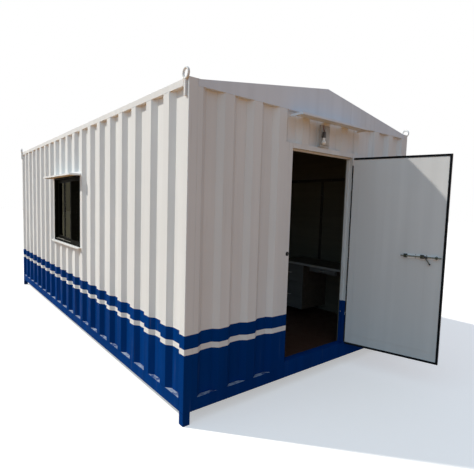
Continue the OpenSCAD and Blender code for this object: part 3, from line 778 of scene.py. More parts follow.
class Palette:
    """All finishes of the cabin, made once."""

    def __init__(self, leaf_skin: tuple, jamb_skin: tuple, bolt_plate: tuple) -> None:
        """Makes every material.

        Args:
            leaf_skin: Normal and level of the open leaf's outer skin.
            jamb_skin: Normal and level of the jambs' front face.
            bolt_plate: Normal and level of the face of the bolt's base plate.
        """
        self.wall = Enamel("wall_enamel", Bands.BY_HEIGHT, round_off=0.006).make()
        self.frame = Enamel("frame_enamel", Bands.BY_HEIGHT).make()
        normal, level = jamb_skin
        self.jamb = Enamel("jamb_enamel", Bands.OUTER_STRIP,
                           skin_normal=normal, skin_level=level).make()
        # Base rails: pale dust on their ledges, partly a painted sheen of sky and sun.
        self.blue = Enamel("base_enamel", Bands.EVERYWHERE, dust=0.65).make()
        self.white = Enamel("plain_enamel", Bands.NOWHERE).make()
        # Cooler white for the gable panels and door canopy: painted bluish sky light.
        self.sheet = Enamel("enamel_with_painted_sky_light", Bands.NOWHERE, (0.775, 0.815, 0.87)).make()
        normal, level = leaf_skin
        # The leaf's white is greyer than the walls': partly a greyer paint, partly painted shade that
        # keeps the leaf dim under the side lamp.
        self.leaf = Enamel("leaf_enamel_with_painted_shade", Bands.OUTER_SKIN, (0.75, 0.75, 0.745), streaks=0.2,
                           skin_normal=normal, skin_level=level).make()
        self.roof = Enamel("roof_enamel", Bands.NOWHERE, (0.70, 0.71, 0.71),
                           gloss=0.5, streaks=0.8).make()
        # The lining is darkened partly as painted shade of the dim room.
        self.lining = Board("lining_laminate_with_painted_shade", (0.16, 0.15, 0.115), (0.135, 0.125, 0.095),
                            rough=0.5, fineness=0.6, relief=0.0001).make()
        self.strip = Board("joint_strip_stain", (0.045, 0.036, 0.03), (0.025, 0.02, 0.018),
                           rough=0.5).make()
        self.floor = FloorSheet("floor_vinyl").make()
        self.aluminium = Metal("dark_anodised", (0.008, 0.0075, 0.005), rough=0.42, scale=0.6,
                               metallic=0.0, specular=0.004).make()
        # The track's aluminium is darkened far below its bare tone: painted shade that takes out the
        # lit streak along the ribs.
        self.track = Metal("aluminium_with_painted_shade", (0.26, 0.25, 0.23), rough=0.45, scale=1.5).make()
        self.glass = Pane("tinted_glass").make()
        self.rubber = Rubber("seal_black").make()
        self.steel = Metal("zinc_plate", (0.46, 0.46, 0.47), rough=0.34, scale=2.0).make()
        self.black = Metal("black_steel", (0.03, 0.03, 0.032), rough=0.45, scale=2.0,
                           metallic=0.0, specular=0.2).make()
        self.bolt = Metal("bolt_steel", (0.10, 0.098, 0.085), rough=0.4, scale=2.0).make()
        self.guides = Metal("bolt_guide_steel", (0.035, 0.035, 0.025), rough=0.4, scale=2.0,
                            painted=bolt_plate).make()
        self.lamp = Plastic("lamp_moulding", (0.45, 0.44, 0.425), (0.38, 0.35, 0.31)).make()
        self.socket = Plastic("socket_moulding", (0.035, 0.026, 0.022), (0.05, 0.036, 0.028),
                              rough=0.4).make()
        self.bulb = OpalGlass("bulb_opal").make()
        self.desk = Board("desk_laminate", (0.10, 0.072, 0.052), (0.06, 0.042, 0.028),
                          rough=0.38).make()
        self.drawer = Board("drawer_laminate", (0.15, 0.147, 0.142), (0.125, 0.122, 0.118),
                            fineness=0.6).make()
        self.edge = Board("edge_band", (0.42, 0.42, 0.415), (0.37, 0.37, 0.365),
                          rough=0.4, fineness=0.8).make()
        self.wire = Plastic("wire_sheath", (0.22, 0.03, 0.02), (0.12, 0.02, 0.015), rough=0.45).make()


# Pieces


def dress(material: Material, *nodes: str) -> None:
    """Gives CAD nodes their finish.

    Args:
        material: The finish.
        nodes: Names of the nodes.
    """
    for name in nodes:
        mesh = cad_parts[name].data
        mesh.materials.clear()
        mesh.materials.append(material)
        LOG.info("finish %s on %s", material.name, name)


def enter(obj: bpy.types.Object, body: Body, slot: Slot) -> None:
    """Makes an object a piece of the cabin.

    Args:
        obj: The finished object, at the origin.
        body: What it moves with.
        slot: Not used.
    """
    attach(obj, body.value)
    LOG.info("piece %s on %s, %d faces", obj.name, body.value, len(obj.data.polygons))


def object_of(name: str, mesh: bpy.types.Mesh) -> bpy.types.Object:
    """Links a mesh into the scene as an object at the origin.

    Args:
        name: Name of the object.
        mesh: Its mesh.

    Returns:
        The new object.
    """
    obj = bpy.data.objects.new(name, mesh)
    bpy.context.scene.collection.objects.link(obj)
    return obj


class Shape:
    """Gathers solids for one piece."""

    smooth_below = 40.0

    def __init__(self, place: Matrix) -> None:
        """Starts an empty shape, with the placement of all that is added."""
        self.bm = bmesh.new()
        self.place = place

    def block(self, low: Point, high: Point, bevel: float) -> "Shape":
        """Adds a block with rounded edges.

        Args:
            low: Lowest corner.
            high: Highest corner.
            bevel: Radius of its edges.

        Returns:
            The shape itself.
        """
        low, high = Vector(low), Vector(high)
        place = Matrix.Translation((low + high) / 2) @ Matrix.Diagonal((*(high - low), 1.0))
        made = bmesh.ops.create_cube(self.bm, size=1.0, matrix=place)
        edges = list({e for v in made["verts"] for e in v.link_edges})
        bmesh.ops.bevel(self.bm, geom=edges, offset=bevel, segments=2, affect="EDGES", profile=0.5)
        return self

    def lathe(self, profile: Sequence[tuple], foot: Point, axis: Point, sides: int = 24) -> "Shape":
        """Adds a turned solid.

        Args:
            profile: Points of radius and height, from the foot up, closed at both ends.
            foot: Where height 0 lies.
            axis: Direction of height.
            sides: Steps round it.

        Returns:
            The shape itself.
        """
        turn = Vector(axis).to_track_quat("Z", "Y").to_matrix().to_4x4()
        place = Matrix.Translation(Vector(foot)) @ turn
        angles = [math.tau * i / sides for i in range(sides)]
        rings = [
            [self.bm.verts.new(place @ Vector((radius * math.cos(a), radius * math.sin(a), height)))
             for a in angles]
            for radius, height in profile
        ]
        for one, two in zip(rings, rings[1:]):
            for i in range(sides):
                j = (i + 1) % sides
                self.bm.faces.new((one[i], one[j], two[j], two[i]))
        self.bm.faces.new(list(reversed(rings[0])))
        self.bm.faces.new(rings[-1])
        return self

    def make(self, name: str, material: Material, smooth: bool = False) -> bpy.types.Object:
        """Closes the shape.

        Args:
            name: Name of the piece.
            material: Its finish.
            smooth: Whether its faces shade smoothly across blunt edges.

        Returns:
            The new object, at the origin.
        """
        self.bm.transform(self.place)
        bmesh.ops.recalc_face_normals(self.bm, faces=self.bm.faces)
        mesh = bpy.data.meshes.new(name)
        self.bm.to_mesh(mesh)
        self.bm.free()
        mesh.materials.append(material)
        if smooth:
            mesh.shade_smooth()
            mesh.set_sharp_from_angle(angle=math.radians(self.smooth_below))
        return object_of(name, mesh)


# Geometry Nodes


class Pattern:
    """A Geometry Nodes tree that repeats a small form over points or along routes."""

    name = "pattern"
    sizes: Sequence[tuple] = ()

    def __init__(self) -> None:
        """Builds the tree."""
        self.tree = bpy.data.node_groups.new(self.name, "GeometryNodeTree")
        face = self.tree.interface
        face.new_socket("Geometry", in_out="INPUT", socket_type="NodeSocketGeometry")
        for label, default in self.sizes:
            socket = face.new_socket(label, in_out="INPUT", socket_type="NodeSocketFloat")
            socket.default_value = default
        face.new_socket("Material", in_out="INPUT", socket_type="NodeSocketMaterial")
        face.new_socket("Geometry", in_out="OUTPUT", socket_type="NodeSocketGeometry")
        graph = Graph(self.tree)
        given = graph.add("NodeGroupInput").outputs
        real = graph.add("GeometryNodeRealizeInstances", {"Geometry": self.draw(graph, given)})
        coat = {"Geometry": real.outputs[0], "Material": given["Material"]}
        graph.add("NodeGroupOutput", {0: graph.add("GeometryNodeSetMaterial", coat).outputs[0]})

    def draw(self, graph: Graph, given: Sockets) -> Socket:
        """Draws the tree's own part and gives its geometry, instances included."""
        raise NotImplementedError

    def grow(
        self, name: str, seed: bpy.types.Mesh, material: Material, **sizes: float,
    ) -> bpy.types.Object:
        """Runs the tree on a seed mesh and keeps the result as a plain mesh.

        Args:
            name: Name of the piece.
            seed: Points or routes.
            material: Finish of the result.
            sizes: Input values by name, with _ for a space.

        Returns:
            The new object, at the origin.
        """
        obj = object_of(name, seed)
        modifier = obj.modifiers.new(self.name, "NODES")
        modifier.node_group = self.tree
        wanted = {key.replace("_", " ").title(): value for key, value in sizes.items()}
        wanted["Material"] = material
        for item in self.tree.interface.items_tree:
            if item.in_out == "INPUT" and item.name in wanted:
                modifier[item.identifier] = wanted[item.name]
        bpy.context.view_layer.update()
        graph = bpy.context.evaluated_depsgraph_get()
        made = bpy.data.meshes.new_from_object(obj.evaluated_get(graph))
        obj.modifiers.remove(modifier)
        obj.data = made
        made.name = name
        return obj


def points_mesh(name: str, spots: Iterable[tuple]) -> bpy.types.Mesh:
    """Makes a seed of loose points.

    Args:
        name: Name of the mesh.
        spots: Pairs of a point and the direction that it faces.

    Returns:
        A mesh of vertices with the attribute facing.
    """
    spots = list(spots)
    mesh = bpy.data.meshes.new(name)
    mesh.from_pydata([tuple(p) for p, _ in spots], [], [])
    facing = mesh.attributes.new(FACING, "FLOAT_VECTOR", "POINT")
    for item, (_, way) in zip(facing.data, spots):
        item.vector = Vector(way)
    return mesh


def routes_mesh(name: str, routes: Iterable[Route], closed: bool = False) -> bpy.types.Mesh:
    """Makes a seed of open or closed routes.

    Args:
        name: Name of the mesh.
        routes: Rows of points.
        closed: Whether each route returns to its first point.

    Returns:
        A mesh of edges.
    """
    points, edges = [], []
    for route in routes:
        first = len(points)
        points.extend(tuple(p) for p in route)
        edges.extend((i, i + 1) for i in range(first, len(points) - 1))
        if closed:
            edges.append((len(points) - 1, first))
    mesh = bpy.data.meshes.new(name)
    mesh.from_pydata(points, edges, [])
    return mesh


def stand(graph: Graph, points: Socket, way: Socket, form: Socket) -> Socket:
    """Instances a form on points, its Z along a direction.

    Args:
        graph: Graph of the tree.
        points: The points.
        way: Direction at each point.
        form: The form to repeat.

    Returns:
        The instances.
    """
    align = graph.add("FunctionNodeAlignRotationToVector", {"Vector": way}, axis="Z")
    inputs = {"Points": points, "Instance": form, "Rotation": align.outputs["Rotation"]}
    return graph.add("GeometryNodeInstanceOnPoints", inputs).outputs["Instances"]


class Heads(Pattern):
    """Heads of screws and rivets, one on each point of the seed."""

    def draw(self, graph: Graph, given: Sockets) -> Socket:
        """Stands a head on every point, turned to where it faces.

        Args:
            graph: Graph of the tree.
            given: Its inputs by name.

        Returns:
            The heads.
        """
        named = {"Name": FACING}
        facing = graph.add("GeometryNodeInputNamedAttribute", named, data_type="FLOAT_VECTOR")
        points, way = given["Geometry"], facing.outputs["Attribute"]
        return stand(graph, points, way, self.form(graph, given))

    def form(self, graph: Graph, given: Sockets) -> Socket:
        """Draws one head, standing on the origin."""
        raise NotImplementedError


class ScrewHeads(Heads):
    """Hexagon heads on round washers."""

    name = "screw_heads"
    sizes = (("Head Radius", 0.005), ("Head Height", 0.005), ("Washer Radius", 0.008),
             ("Washer Height", 0.0015))
    head_sides, washer_sides = 6, 14

    def form(self, graph: Graph, given: Sockets) -> Socket:
        """Joins a head and a washer.

        Args:
            graph: Graph of the tree.
            given: Its inputs by name.

        Returns:
            The head on its washer.
        """
        parts = graph.add("GeometryNodeJoinGeometry")
        for label, sides in (("Head", self.head_sides), ("Washer", self.washer_sides)):
            radius, height = given[f"{label} Radius"], given[f"{label} Height"]
            sizes = {"Vertices": sides, "Radius": radius, "Depth": height}
            drum = graph.add("GeometryNodeMeshCylinder", sizes)
            lift = graph.vector(0.0, 0.0, graph.times(height, 0.5))
            place = {"Geometry": drum.outputs["Mesh"], "Translation": lift}
            graph.feed(parts.inputs[0], graph.add("GeometryNodeTransform", place).outputs[0])
        return parts.outputs[0]


class DomeHeads(Heads):
    """Domed heads."""

    name = "dome_heads"
    sizes = (("Radius", 0.004), ("Height", 0.002))
    segments, rings = 12, 6

    def form(self, graph: Graph, given: Sockets) -> Socket:
        """Flattens a ball, which stands sunk to its equator.

        Args:
            graph: Graph of the tree.
            given: Its inputs by name.

        Returns:
            The dome.
        """
        radius, height = given["Radius"], given["Height"]
        sizes = {"Segments": self.segments, "Rings": self.rings, "Radius": radius}
        ball = graph.add("GeometryNodeMeshUVSphere", sizes)
        flat = graph.vector(1.0, 1.0, graph.math("DIVIDE", height, radius))
        press = {"Geometry": ball.outputs["Mesh"], "Scale": flat}
        return graph.add("GeometryNodeTransform", press).outputs[0]


class WeldBead(Pattern):
    """Overlapping ripples of a weld along each route of the seed."""

    name = "weld_bead"
    sizes = (("Pitch", 0.005), ("Radius", 0.004))
    flattening = (1.0, 1.0, 0.9)

    def draw(self, graph: Graph, given: Sockets) -> Socket:
        """Sets a flattened ripple at every pitch along the route.

        Args:
            graph: Graph of the tree.
            given: Its inputs by name.

        Returns:
            The ripples.
        """
        curve = graph.add("GeometryNodeMeshToCurve", {"Mesh": given["Geometry"]})
        spacing = {"Curve": curve.outputs[0], "Length": given["Pitch"]}
        steps = graph.add("GeometryNodeResampleCurve", spacing, mode="LENGTH")
        sizes = {"Radius": given["Radius"], "Subdivisions": 1}
        ripple = graph.add("GeometryNodeMeshIcoSphere", sizes)
        press = {"Geometry": ripple.outputs["Mesh"], "Scale": self.flattening}
        flat = graph.add("GeometryNodeTransform", press)
        tangent = graph.add("GeometryNodeInputTangent")
        return stand(graph, steps.outputs[0], tangent.outputs[0], flat.outputs[0])


class RoundBead(Pattern):
    """Round bar, gasket or wire that follows each route of the seed."""

    name = "round_bead"
    sizes = (("Radius", 0.003), ("Corner", 0.0))
    sides, corner_steps = 10, 4

    def draw(self, graph: Graph, given: Sockets) -> Socket:
        """Rounds the corners of the routes and sweeps a circle along them.

        Args:
            graph: Graph of the tree.
            given: Its inputs by name.

        Returns:
            The bars.
        """
        path = graph.add("GeometryNodeMeshToCurve", {"Mesh": given["Geometry"]})
        rounding = {"Curve": path.outputs[0], "Count": self.corner_steps,
                    "Radius": given["Corner"], "Limit Radius": True}
        curve = graph.add("GeometryNodeFilletCurve", rounding, mode="POLY")
        sizes = {"Resolution": self.sides, "Radius": given["Radius"]}
        ring = graph.add("GeometryNodeCurvePrimitiveCircle", sizes)
        sweep = {"Curve": curve.outputs[0], "Profile Curve": ring.outputs[0], "Fill Caps": True}
        return graph.add("GeometryNodeCurveToMesh", sweep).outputs[0]


# Scene


@dataclass
class Studio:
    """Camera at the photograph's viewpoint, pale floor and soft light.

    Attributes:
        eye: Place of the camera.
        yaw: Turn to the right of +Y, in radians.
        pitch: Rise of the view, in radians.
        roll: Turn about the view, in radians.
        focal: Focal length in pixels of the square picture.
        pixels: Side of the square picture.
        sensor: Width of the camera's sensor in millimetres.
        to_light: Direction towards the key light.
        key: Strength of the key light.
        spread: Angle that the key light covers, in degrees.
        key_tint: Colour of the key light.
        to_side: Direction towards the wide lamp at the window side.
        side: Strength of that lamp.
        side_spread: Angle that it covers, in degrees.
        side_tint: Its colour.
        fill: Strength of the light from all round.
        sky: Tint of the light from all round.
        paper: Colour of the floor as it is seen.
        bounce: Colour of the light that the floor gives back to the cabin.
        glow: Light of its own that the floor shows to the camera.
        floor_half: Half of the floor's side.
        sight: How far the camera sees.
    """

    eye: Point = (-2.9180, -4.9848, 1.6779)
    yaw: float = 0.6800
    pitch: float = -0.0820
    roll: float = 0.0298
    focal: float = 383.64
    pixels: float = 474.0
    sensor: float = 36.0
    to_light: Point = (-0.475, 0.565, 0.655)
    key: float = 3.5
    spread: float = 1.2
    key_tint: Colour = (1.0, 0.945, 0.85)
    to_side: Point = (-0.95, -0.20, 0.25)
    side: float = 0.88
    side_spread: float = 110.0
    side_tint: Colour = (0.27, 0.74, 1.0)
    fill: float = 0.36
    sky: Colour = (0.86, 0.95, 1.18)
    paper: Colour = (0.80, 0.79, 0.77)
    bounce: Colour = (0.415, 0.22, 0.08)
    glow: float = 0.42
    floor_half: float = 60.0
    sight: float = 500.0

    def build(self) -> None:
        """Makes the camera, the lights and the floor."""
        self.camera()
        self.lights()
        self.floor()

    def camera(self) -> None:
        """Makes the scene's camera."""
        flat = math.cos(self.pitch)
        ahead = Vector((math.sin(self.yaw) * flat, math.cos(self.yaw) * flat, math.sin(self.pitch)))
        level = Vector((math.cos(self.yaw), -math.sin(self.yaw), 0.0))
        upright = level.cross(ahead)
        right = math.cos(self.roll) * level + math.sin(self.roll) * upright
        up = math.cos(self.roll) * upright - math.sin(self.roll) * level
        data = bpy.data.cameras.new("photo_camera")
        data.sensor_fit = "HORIZONTAL"
        data.sensor_width = self.sensor
        data.lens = self.focal * self.sensor / self.pixels
        data.clip_end = self.sight
        camera = bpy.data.objects.new("photo_camera", data)
        turn = Matrix((right, up, -ahead)).transposed().to_4x4()
        camera.matrix_world = Matrix.Translation(Vector(self.eye)) @ turn
        bpy.context.scene.collection.objects.link(camera)
        bpy.context.scene.camera = camera

    @staticmethod
    def lamp(name: str, toward: Point, strength: float, spread: float, tint: Colour) -> None:
        """Makes a lamp that is far away.

        Args:
            name: Name of the lamp.
            toward: Direction towards it.
            strength: Its strength.
            spread: Angle that it covers, in degrees.
            tint: Its colour.
        """
        data = bpy.data.lights.new(name, "SUN")
        data.energy = strength
        data.angle = math.radians(spread)
        data.color = tint
        lamp = bpy.data.objects.new(name, data)
        lamp.rotation_euler = Vector(toward).to_track_quat("Z", "Y").to_euler()
        bpy.context.scene.collection.objects.link(lamp)

    def lights(self) -> None:
        """Makes the lamps and the world."""
        self.lamp("key_light", self.to_light, self.key, self.spread, self.key_tint)
        self.lamp("side_light", self.to_side, self.side, self.side_spread, self.side_tint)
        world = bpy.data.worlds.new("studio")
        bpy.context.scene.world = world
        world.use_nodes = True
        graph = Graph(world.node_tree)
        sky = next(n for n in world.node_tree.nodes if n.type == "BACKGROUND")
        backdrop = graph.mix(self.seen(graph), opaque(self.sky, self.fill), FULL_WHITE)
        graph.feed(sky.inputs["Color"], backdrop)

    @staticmethod
    def seen(graph: Graph) -> Socket:
        """Gives 1 for rays that show the backdrop itself, directly or by mirror or glass.

        Args:
            graph: Graph of the backdrop or the floor.

        Returns:
            1 for such a ray, and 0 for others.
        """
        path = graph.add("ShaderNodeLightPath")
        share = path.outputs["Is Camera Ray"]
        for label in ("Is Glossy Ray", "Is Transmission Ray"):
            share = graph.math("MAXIMUM", share, path.outputs[label])
        return share

    def floor(self) -> None:
        """Makes the pale floor, which keeps the cabin's shadow."""
        half = self.floor_half
        corners = [(-half, -half, 0), (half, -half, 0), (half, half, 0), (-half, half, 0)]
        mesh = bpy.data.meshes.new("studio_floor")
        mesh.from_pydata(corners, [], [(0, 1, 2, 3)])
        floor = object_of("studio_floor", mesh)
        surface = Surface("studio_paper")
        graph = surface.graph
        seen = self.seen(graph)
        surface.set(
            base_color=graph.mix(seen, opaque(self.bounce), opaque(self.paper)),
            roughness=0.9,
            specular=0.0,
            emission_color=FULL_WHITE,
            emission_strength=graph.times(seen, self.glow),
        )
        mesh.materials.append(surface.material)


# Sub-assemblies, in millimetres from the near left ground corner


@dataclass(frozen=True)
class Row:
    """Evenly spaced places along a line.

    Attributes:
        first: Distance of the first place from the start.
        step: Spacing.
        count: Number of places.
    """

    first: float
    step: float
    count: int

    def places(self, start: float = 0.0) -> list:
        """Gives the places, counted from a start."""
        return [start + self.first + i * self.step for i in range(self.count)]


@dataclass(frozen=True)
class Plan:
    """The maker's plan of the cabin, with the door at the front and the window at the left.

    Attributes:
        origin: Where the frame's origin lies on the plan.
        width: Outside width.
        length: Outside length.
        floor: Level of the base rails' upper edge.
        top: Level of the top rails' lower edge.
        eave: Level of the top rails' upper edge.
        base: Level of the base rails' lower edge.
        post: Side of the corner posts.
        hinge: Axis of the door.
        opened: Degrees that the door stands open.
    """

    origin: Point = (1465.5, 2606.794, 0.0)
    width: float = 3048.0
    length: float = 6096.0
    floor: float = 200.0
    top: float = 2520.0
    eave: float = 2570.0
    base: float = 100.0
    post: float = 75.0
    hinge: Point = (1980.0, -9.0, 0.0)
    opened: float = 106.0

    def placement(self, body: Body) -> Matrix:
        """Gives the matrix from the plan, door shut, to the frame, door open.

        Args:
            body: What the piece moves with.

        Returns:
            The matrix, which also turns millimetres to metres.
        """
        turn = Matrix.Identity(4)
        if body in (Body.DOOR, Body.BOLT):
            axis = Matrix.Translation(Vector(self.hinge))
            turn = axis @ Matrix.Rotation(math.radians(self.opened), 4, "Z") @ axis.inverted()
        return Matrix.Scale(MILLIMETRE, 4) @ Matrix.Translation(-Vector(self.origin)) @ turn

    def skin(self, body: Body, depth: float) -> tuple:
        """Finds the plane that parts the front skin of a body from what lies behind it.

        Args:
            body: The body.
            depth: Depth of the plane behind the front face, with the door shut.

        Returns:
            The outward normal, and the plane's place along it in metres.
        """
        matrix = self.placement(body)
        normal = (matrix.to_3x3() @ FRONT).normalized()
        return normal, normal.dot(matrix @ Vector((self.hinge[0], depth, 0.0)))

    def across(self, x: float) -> float:
        """Gives the place that mirrors x at the other side."""
        return self.width - x

    def along(self, y: float) -> float:
        """Gives the place that mirrors y at the other end."""
        return self.length - y

    def corners(self, routes: Iterable[Route]) -> list:
        """Repeats routes drawn at the front left corner at all four.

        Args:
            routes: Rows of points.

        Returns:
            The rows at each corner.
        """
        flips = [(flip_x, flip_y) for flip_x in (False, True) for flip_y in (False, True)]
        return [
            [(self.across(x) if flip_x else x, self.along(y) if flip_y else y, z) for x, y, z in route]
            for route in routes for flip_x, flip_y in flips
        ]


class Workshop:
    """The plan, the finishes and the repeating patterns that all sub-assemblies use.

    Attributes:
        leaf_skin: Depth of the plane behind the leaf's outer skin.
        jamb_skin: Depth of the plane behind the front face of the jambs.
        bolt_plate: Depth of the plane over the face of the bolt's base plate.
    """

    leaf_skin, jamb_skin, bolt_plate = 5.0, 1.0, 32.6

    def __init__(self, plan: Plan) -> None:
        """Makes the finishes and the patterns.

        Args:
            plan: The maker's plan.
        """
        self.plan = plan
        self.palette = Palette(
            leaf_skin=plan.skin(Body.DOOR, self.leaf_skin),
            jamb_skin=plan.skin(Body.CABIN, self.jamb_skin),
            bolt_plate=plan.skin(Body.DOOR, self.bolt_plate),
        )
        self.hex_heads, self.dome_heads = ScrewHeads(), DomeHeads()
        self.weld_bead, self.round_bead = WeldBead(), RoundBead()

    def heads(
        self, name: str, pattern: Pattern, spots: Iterable[Spot], finish: Material,
        slot: Slot, body: Body = Body.CABIN, **sizes: float,
    ) -> None:
        """Makes one piece of many heads.

        Args:
            name: Name of the piece.
            pattern: Kind of head.
            spots: Points on the plan and the directions that the heads face.
            finish: Their finish.
            slot: Slot of the record for it.
            body: What they move with.
            sizes: Sizes of the head in millimetres.
        """
        matrix = self.plan.placement(body)
        turn = matrix.to_3x3()
        placed = [(matrix @ Vector(p), (turn @ Vector(way)).normalized()) for p, way in spots]
        enter(pattern.grow(name, points_mesh(name, placed), finish, **in_metres(sizes)), body, slot)

    def screws(self, name: str, spots: Iterable[Spot], radius: float, height: float) -> None:
        """Makes one piece of plated screw heads on the cabin."""
        self.heads(name, self.dome_heads, spots, self.palette.steel, Slot.STEEL,
                   radius=radius, height=height)

    def lines(
        self, name: str, pattern: Pattern, routes: Iterable[Route], finish: Material,
        slot: Slot, body: Body = Body.CABIN, closed: bool = False, **sizes: float,
    ) -> None:
        """Makes one piece that follows routes.

        Args:
            name: Name of the piece.
            pattern: What follows the routes.
            routes: Rows of points on the plan.
            finish: Its finish.
            slot: Slot of the record for it.
            body: What it moves with.
            closed: Whether each route returns to its first point.
            sizes: Sizes of the pattern in millimetres.
        """
        matrix = self.plan.placement(body)
        placed = [[matrix @ Vector(p) for p in route] for route in routes]
        seed = routes_mesh(name, placed, closed)
        obj = pattern.grow(name, seed, finish, **in_metres(sizes))
        obj.data.shade_smooth()
        enter(obj, body, slot)

    def stitches(self, name: str, routes: Iterable[Route], finish: Material) -> None:
        """Makes one piece of short welds on sheet steel."""
        self.lines(name, self.weld_bead, routes, finish, Slot.WHITE, pitch=5.5, radius=2.6)

    def hem(self, name: str, route: Route) -> None:
        """Makes one piece of the rolled edge round a canopy."""
        self.lines(name, self.round_bead, [route], self.palette.white, Slot.WHITE,
                   radius=2.2, corner=6.0)

    def shape(self, body: Body = Body.CABIN) -> Shape:
        """Starts a solid that is drawn on the plan."""
        return Shape(self.plan.placement(body))


def in_metres(sizes: dict) -> dict:
    """Turns sizes in millimetres to metres."""
    return {key: value / 1000 for key, value in sizes.items()}


def rectangle_across_x(
    x: float, low: Sequence[float], high: Sequence[float], inset: float = 0.0,
) -> list:
    """Gives the corners of a rectangle in a plane across X, moved inwards by inset."""
    y0, z0, y1, z1 = low[0] + inset, low[1] + inset, high[0] - inset, high[1] - inset
    return [(x, y0, z0), (x, y1, z0), (x, y1, z1), (x, y0, z1)]


def three_sides(start: Point, out: Point, end: Point) -> list:
    """Gives a route that goes out from its start, along, and back to its end."""
    start, out, end = Vector(start), Vector(out), Vector(end)
    return [start, start + out, end + out, end]


class Assembly:
    """A group of pieces that is dressed and fitted together."""

    def build(self, shop: Workshop) -> None:
        """Dresses the group's nodes and adds its small pieces."""
        raise NotImplementedError


@dataclass
class SteelFrame(Assembly):
    """Feet, rails, posts and lifting eyes, welded together.

    Attributes:
        foot: Side of the stub feet.
        arris: Radius of the outer arris of posts and feet.
        stem_y: Place of a lifting eye's stem.
        stem_r: Radius of the stem.
        stem_low: Lower end of the stem.
        stem_high: Upper end of the stem's weld.
        bead: Radius of the welds.
    """

    foot: float = 60.0
    arris: float = 6.0
    stem_y: float = 33.0
    stem_r: float = 9.0
    stem_low: float = 2443.0
    stem_high: float = 2556.0
    bead: float = 3.0

    def build(self, shop: Workshop) -> None:
        """Dresses the frame and runs its welds.

        Args:
            shop: The plan, the finishes and the patterns.
        """
        dress(shop.palette.frame, "corner_posts")
        dress(shop.palette.white, "top_side_rails", "lifting_eyes")
        # The gable panels take the cooler white of painted sky light.
        dress(shop.palette.sheet, "gable_panels")
        dress(shop.palette.blue, "stub_feet", "base_rails", "floor_joists")
        plan, post = shop.plan, shop.plan.post
        seams = [
            [(0, post, plan.base), (0, post, plan.floor)],
            [(post, 0, plan.base), (post, 0, plan.floor)],
            [(0, post, plan.top), (0, post, plan.eave)],
            [(post, 0, plan.top), (post, 0, plan.eave)],
            [(0, self.arris, plan.base), (0, self.foot, plan.base)],
            [(self.arris, 0, plan.base), (self.foot, 0, plan.base)],
        ]
        for y in (self.stem_y - self.stem_r, self.stem_y + self.stem_r):
            seams.append([(0, y, self.stem_low), (0, y, self.stem_high)])
        shop.lines("frame_welds", shop.weld_bead, plan.corners(seams), shop.palette.frame, Slot.WHITE,
                   pitch=5.0, radius=self.bead)


@dataclass
class WallCladding(Assembly):
    """Corrugated walls, stitched to the rails on their outer flats.

    Attributes:
        side_pitch: Spacing of the outer flats on the side walls.
        side_ribs: Corrugations of a side wall.
        end_pitch: Spacing of the outer flats on the end walls.
        end_ribs: Corrugations of an end wall.
        flat: Width of an outer flat.
        stitch: Length of a stitch.
        door_low: Left edge of the door frame.
        door_high: Right edge of the door frame.
    """

    side_pitch: float = 301.8
    side_ribs: int = 20
    end_pitch: float = 289.8
    end_ribs: int = 10
    flat: float = 90.0
    stitch: float = 44.0
    door_low: float = 1031.0
    door_high: float = 2017.0

    def build(self, shop: Workshop) -> None:
        """Dresses the sheets and stitches them to the rails.

        Args:
            shop: The plan, the finishes and the patterns.
        """
        dress(shop.palette.wall, "left_wall_sheet", "right_wall_sheet", "rear_wall_sheet",
              "front_wall_sheets", "front_wall_over_door")
        plan, half = shop.plan, self.stitch / 2
        routes = []
        for i in range(1, self.side_ribs):
            y = plan.post + i * self.side_pitch - self.flat / 2
            for x in (0.0, plan.width):
                routes += [[(x, y - half, z), (x, y + half, z)] for z in (plan.floor, plan.top)]
        for i in range(1, self.end_ribs):
            x = plan.post + i * self.end_pitch
            levels = [(plan.length, plan.floor), (plan.length, plan.top), (0.0, plan.top)]
            if not self.door_low < x < self.door_high:
                levels.append((0.0, plan.floor))
            routes += [[(x - half, y, z), (x + half, y, z)] for y, z in levels]
        shop.stitches("sheet_stitches", routes, shop.palette.frame)


@dataclass
class Roof(Assembly):
    """Roof sheets screwed through their crests, and the ridge cap.

    Attributes:
        foot_x: Where a slope starts.
        foot_z: Level of its start.
        front_y: Where the sheets start at the front.
        angle: Slope in degrees.
        pitch: Spacing of the crests.
        ribs: Corrugations along the roof.
        crest: Height of the crests over the slope.
        rows: Distances of the screw rows up the slope.
        cap_z: Level of the cap's fold.
        cap_row: Distance of the cap's screws from the fold.
    """

    foot_x: float = 80.0
    foot_z: float = 2530.3
    front_y: float = 3.0
    angle: float = 8.98
    pitch: float = 304.5
    ribs: int = 20
    crest: float = 22.0
    rows: Sequence[float] = (110.0, 530.0, 950.0)
    cap_z: float = 2783.1
    cap_row: float = 118.0

    def build(self, shop: Workshop) -> None:
        """Dresses the roof and drives its screws.

        Args:
            shop: The plan, the finishes and the patterns.
        """
        dress(shop.palette.roof, "roof_sheets", "ridge_cap", "ridge_beam_tube")
        plan, rise = shop.plan, math.radians(self.angle)
        normal = Vector((-math.sin(rise), 0.0, math.cos(rise)))
        spots = []
        for i in range(1, self.ribs):
            y = self.front_y + i * self.pitch
            for far in self.rows:
                x = self.foot_x + far * math.cos(rise) + self.crest * normal.x
                z = self.foot_z + far * math.sin(rise) + self.crest * normal.z
                spots.append(((x, y, z), normal))
            level = self.cap_z - self.cap_row * math.tan(rise)
            spots.append(((plan.width / 2 - self.cap_row, y, level), normal))
        flip = Vector((-1, 1, 1))
        spots += [((plan.across(p[0]), p[1], p[2]), way * flip) for p, way in spots]
        shop.heads("roof_screws", shop.hex_heads, spots, shop.palette.steel, Slot.STEEL,
                   head_radius=5.5, head_height=6.0, washer_radius=9.0, washer_height=1.6)


